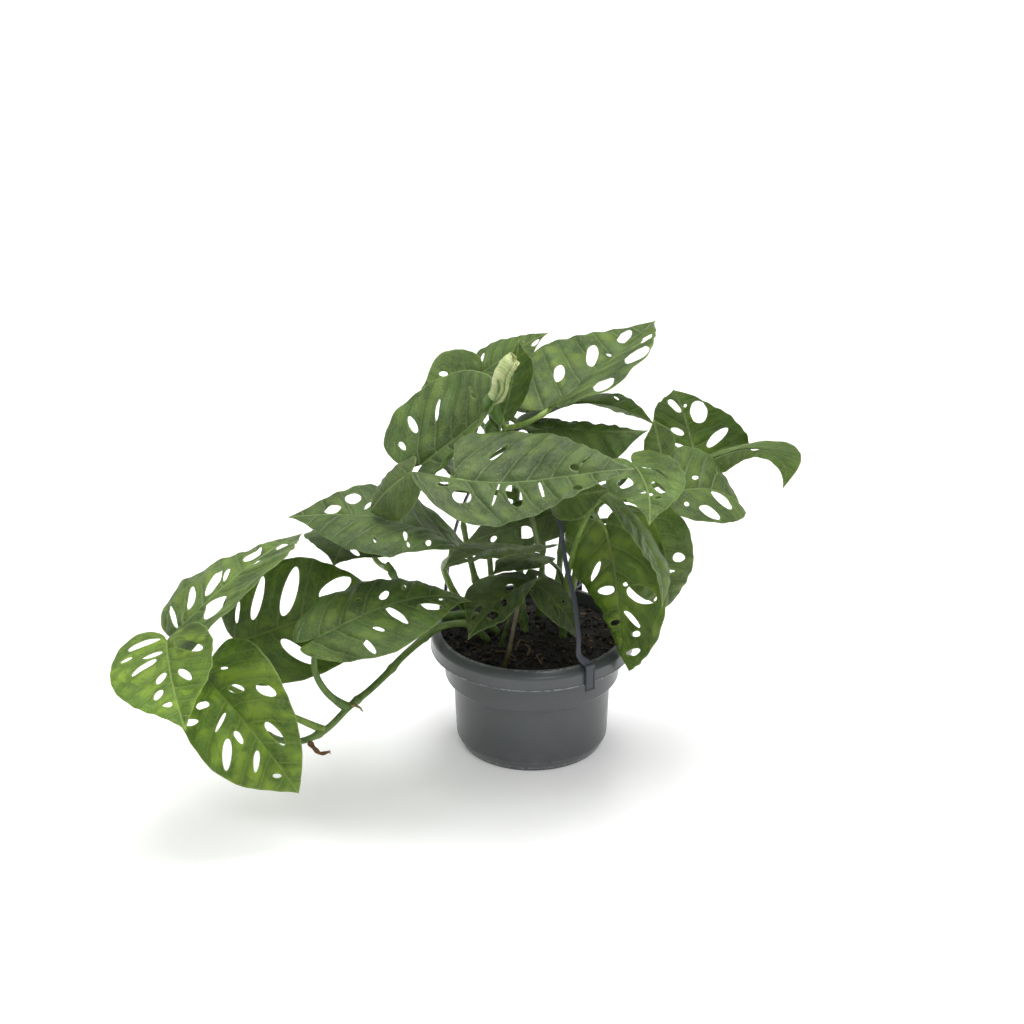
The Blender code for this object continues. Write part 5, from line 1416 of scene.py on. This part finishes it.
for name, pts in STRAPS:
    p = np.array(pts, float)
    turn = math.atan2(p[0][1], p[0][0])
    line = smooth_path(p, 12)
    s = np.linspace(0, 1, len(line))
    ref = np.stack([line[:, 0] + 8, line[:, 1] - 15, np.full(len(line), 12.0)], 1)
    w = np.interp(s, [0, 0.06, 0.14, 0.9, 1], [3.6, 2.9, 2.15, 2.0, 2.4])
    t = np.interp(s, [0, 0.1, 1], [1.2, 0.95, 0.95])
    b_ = Build()
    sv, sf = sweep(line, np.stack([w, t], 1), cross=flat, ref=ref)
    b_.add(sv, sf, 0)
    # the clip over the rim, with its slot and tongue
    for size, centre, bv in (
            ((12.4, 9.0, 2.2), (81.6, 0, POT_LIP_Z + 1.7), 0.6),
            ((2.0, 9.0, 24.6), (86.9, 0, 96.2), 0.6),
            ((1.2, 9.8, 2.0), (87.7, 0, 85.4), 0.4),
            ((1.0, 1.1, 18.0), (88.0, 3.6, 95.4), 0.35),
            ((1.0, 1.1, 18.0), (88.0, -3.6, 95.4), 0.35)):
        cv, cf = chunk(size, centre, turn, bv)
        b_.add(cv, cf, 0)
    done(b_.make("vis_" + name, [hang], attrs=False), name)

b_ = Build()
hx, hy, hz = HUB
ring = [(0, -3.5), (4.4, -3.5), (5.2, -2.9), (5.2, -0.6), (4.6, 0.0),
        (4.6, 1.6), (4.2, 3.0), (3.0, 3.6), (0, 3.7)]
hub_v, hub_f = [], []
n = 40
for r, z in ring:
    for j in range(n):
        a = 2 * math.pi * j / n
        hub_v.append((hx + max(r, 0.02) * math.cos(a),
                      hy + max(r, 0.02) * math.sin(a), hz + z))
for i in range(len(ring) - 1):
    for j in range(n):
        jn = (j + 1) % n
        hub_f.append((i * n + j, i * n + jn, (i + 1) * n + jn, (i + 1) * n + j))
hub_f = np.array(hub_f)
b_.add(hub_v, [hub_f], 0)
cap = np.array([list(range(n))[::-1],
                list(range((len(ring) - 1) * n, len(ring) * n))])
b_.f += cap.tolist()
b_.mi += [0, 0]
line = smooth_path(HOOK, 8)
sv, sf = sweep(line, np.interp(np.linspace(0, 1, len(line)), [0, 0.9, 1],
                               [1.9, 1.7, 1.3]), 14)
b_.add(sv, sf, 0)
done(b_.make("vis_hanger_hub_and_hook", [hang], attrs=False),
     "hanger_hub_and_hook")

# ------------------------------------------------------------ floor, lights
WORLD = 0.55
FLOOR_GLOW = 0.16
LIGHTS = [   # name, place, aim, size, power, colour
    ("top", (0.35, 0.45, 2.3), (0, 0, 0.1), 1.7, 46.0),
    ("wide", (-0.5, 0.2, 3.2), (0, 0, 0.1), 3.6, 40.0),
    ("front", (0.7, -2.4, 2.6), (0, 0, 0.2), 1.6, 16.0),
]
floor_mesh = bpy.data.meshes.new("floor")
floor_mesh.from_pydata([(-9, -9, 0), (9, -9, 0), (9, 9, 0), (-9, 9, 0)], [],
                       [(0, 1, 2, 3)])
floor = bpy.data.objects.new("floor", floor_mesh)
bpy.context.scene.collection.objects.link(floor)
fm = Nodes("floor_white")
ftc = fm.node("TexCoord", out=3)
fcol = fm.mix(fm.noise(ftc, 3.0, 2.0), (0.93, 0.93, 0.93), (0.95, 0.95, 0.95))
floor_mesh.materials.append(fm.finish(fm.principled(
    fcol, 0.9, Specular_IOR_Level=0.1, Emission_Color=(1.0, 1.0, 1.0, 1.0),
    Emission_Strength=FLOOR_GLOW)))

world = bpy.data.worlds.new("world")
bpy.context.scene.world = world
world.use_nodes = True
bg = world.node_tree.nodes["Background"]
bg.inputs[0].default_value = (1.0, 1.0, 1.0, 1.0)
bg.inputs[1].default_value = WORLD


def area(name, loc, aim, size, power, color=(1, 1, 1)):
    data = bpy.data.lights.new(name, "AREA")
    data.shape = "DISK"
    data.size = size
    data.energy = power
    data.color = color
    ob = bpy.data.objects.new(name, data)
    ob.location = loc
    ob.rotation_euler = (Vector(aim) - Vector(loc)).to_track_quat(
        "-Z", "Y").to_euler()
    bpy.context.scene.collection.objects.link(ob)


for args in LIGHTS:
    area(*args)
bpy.context.scene.view_settings.view_transform = "Standard"
bpy.context.scene.view_settings.look = "None"
bpy.context.scene.view_settings.exposure = 0.0
bpy.context.scene.view_settings.gamma = 1.0
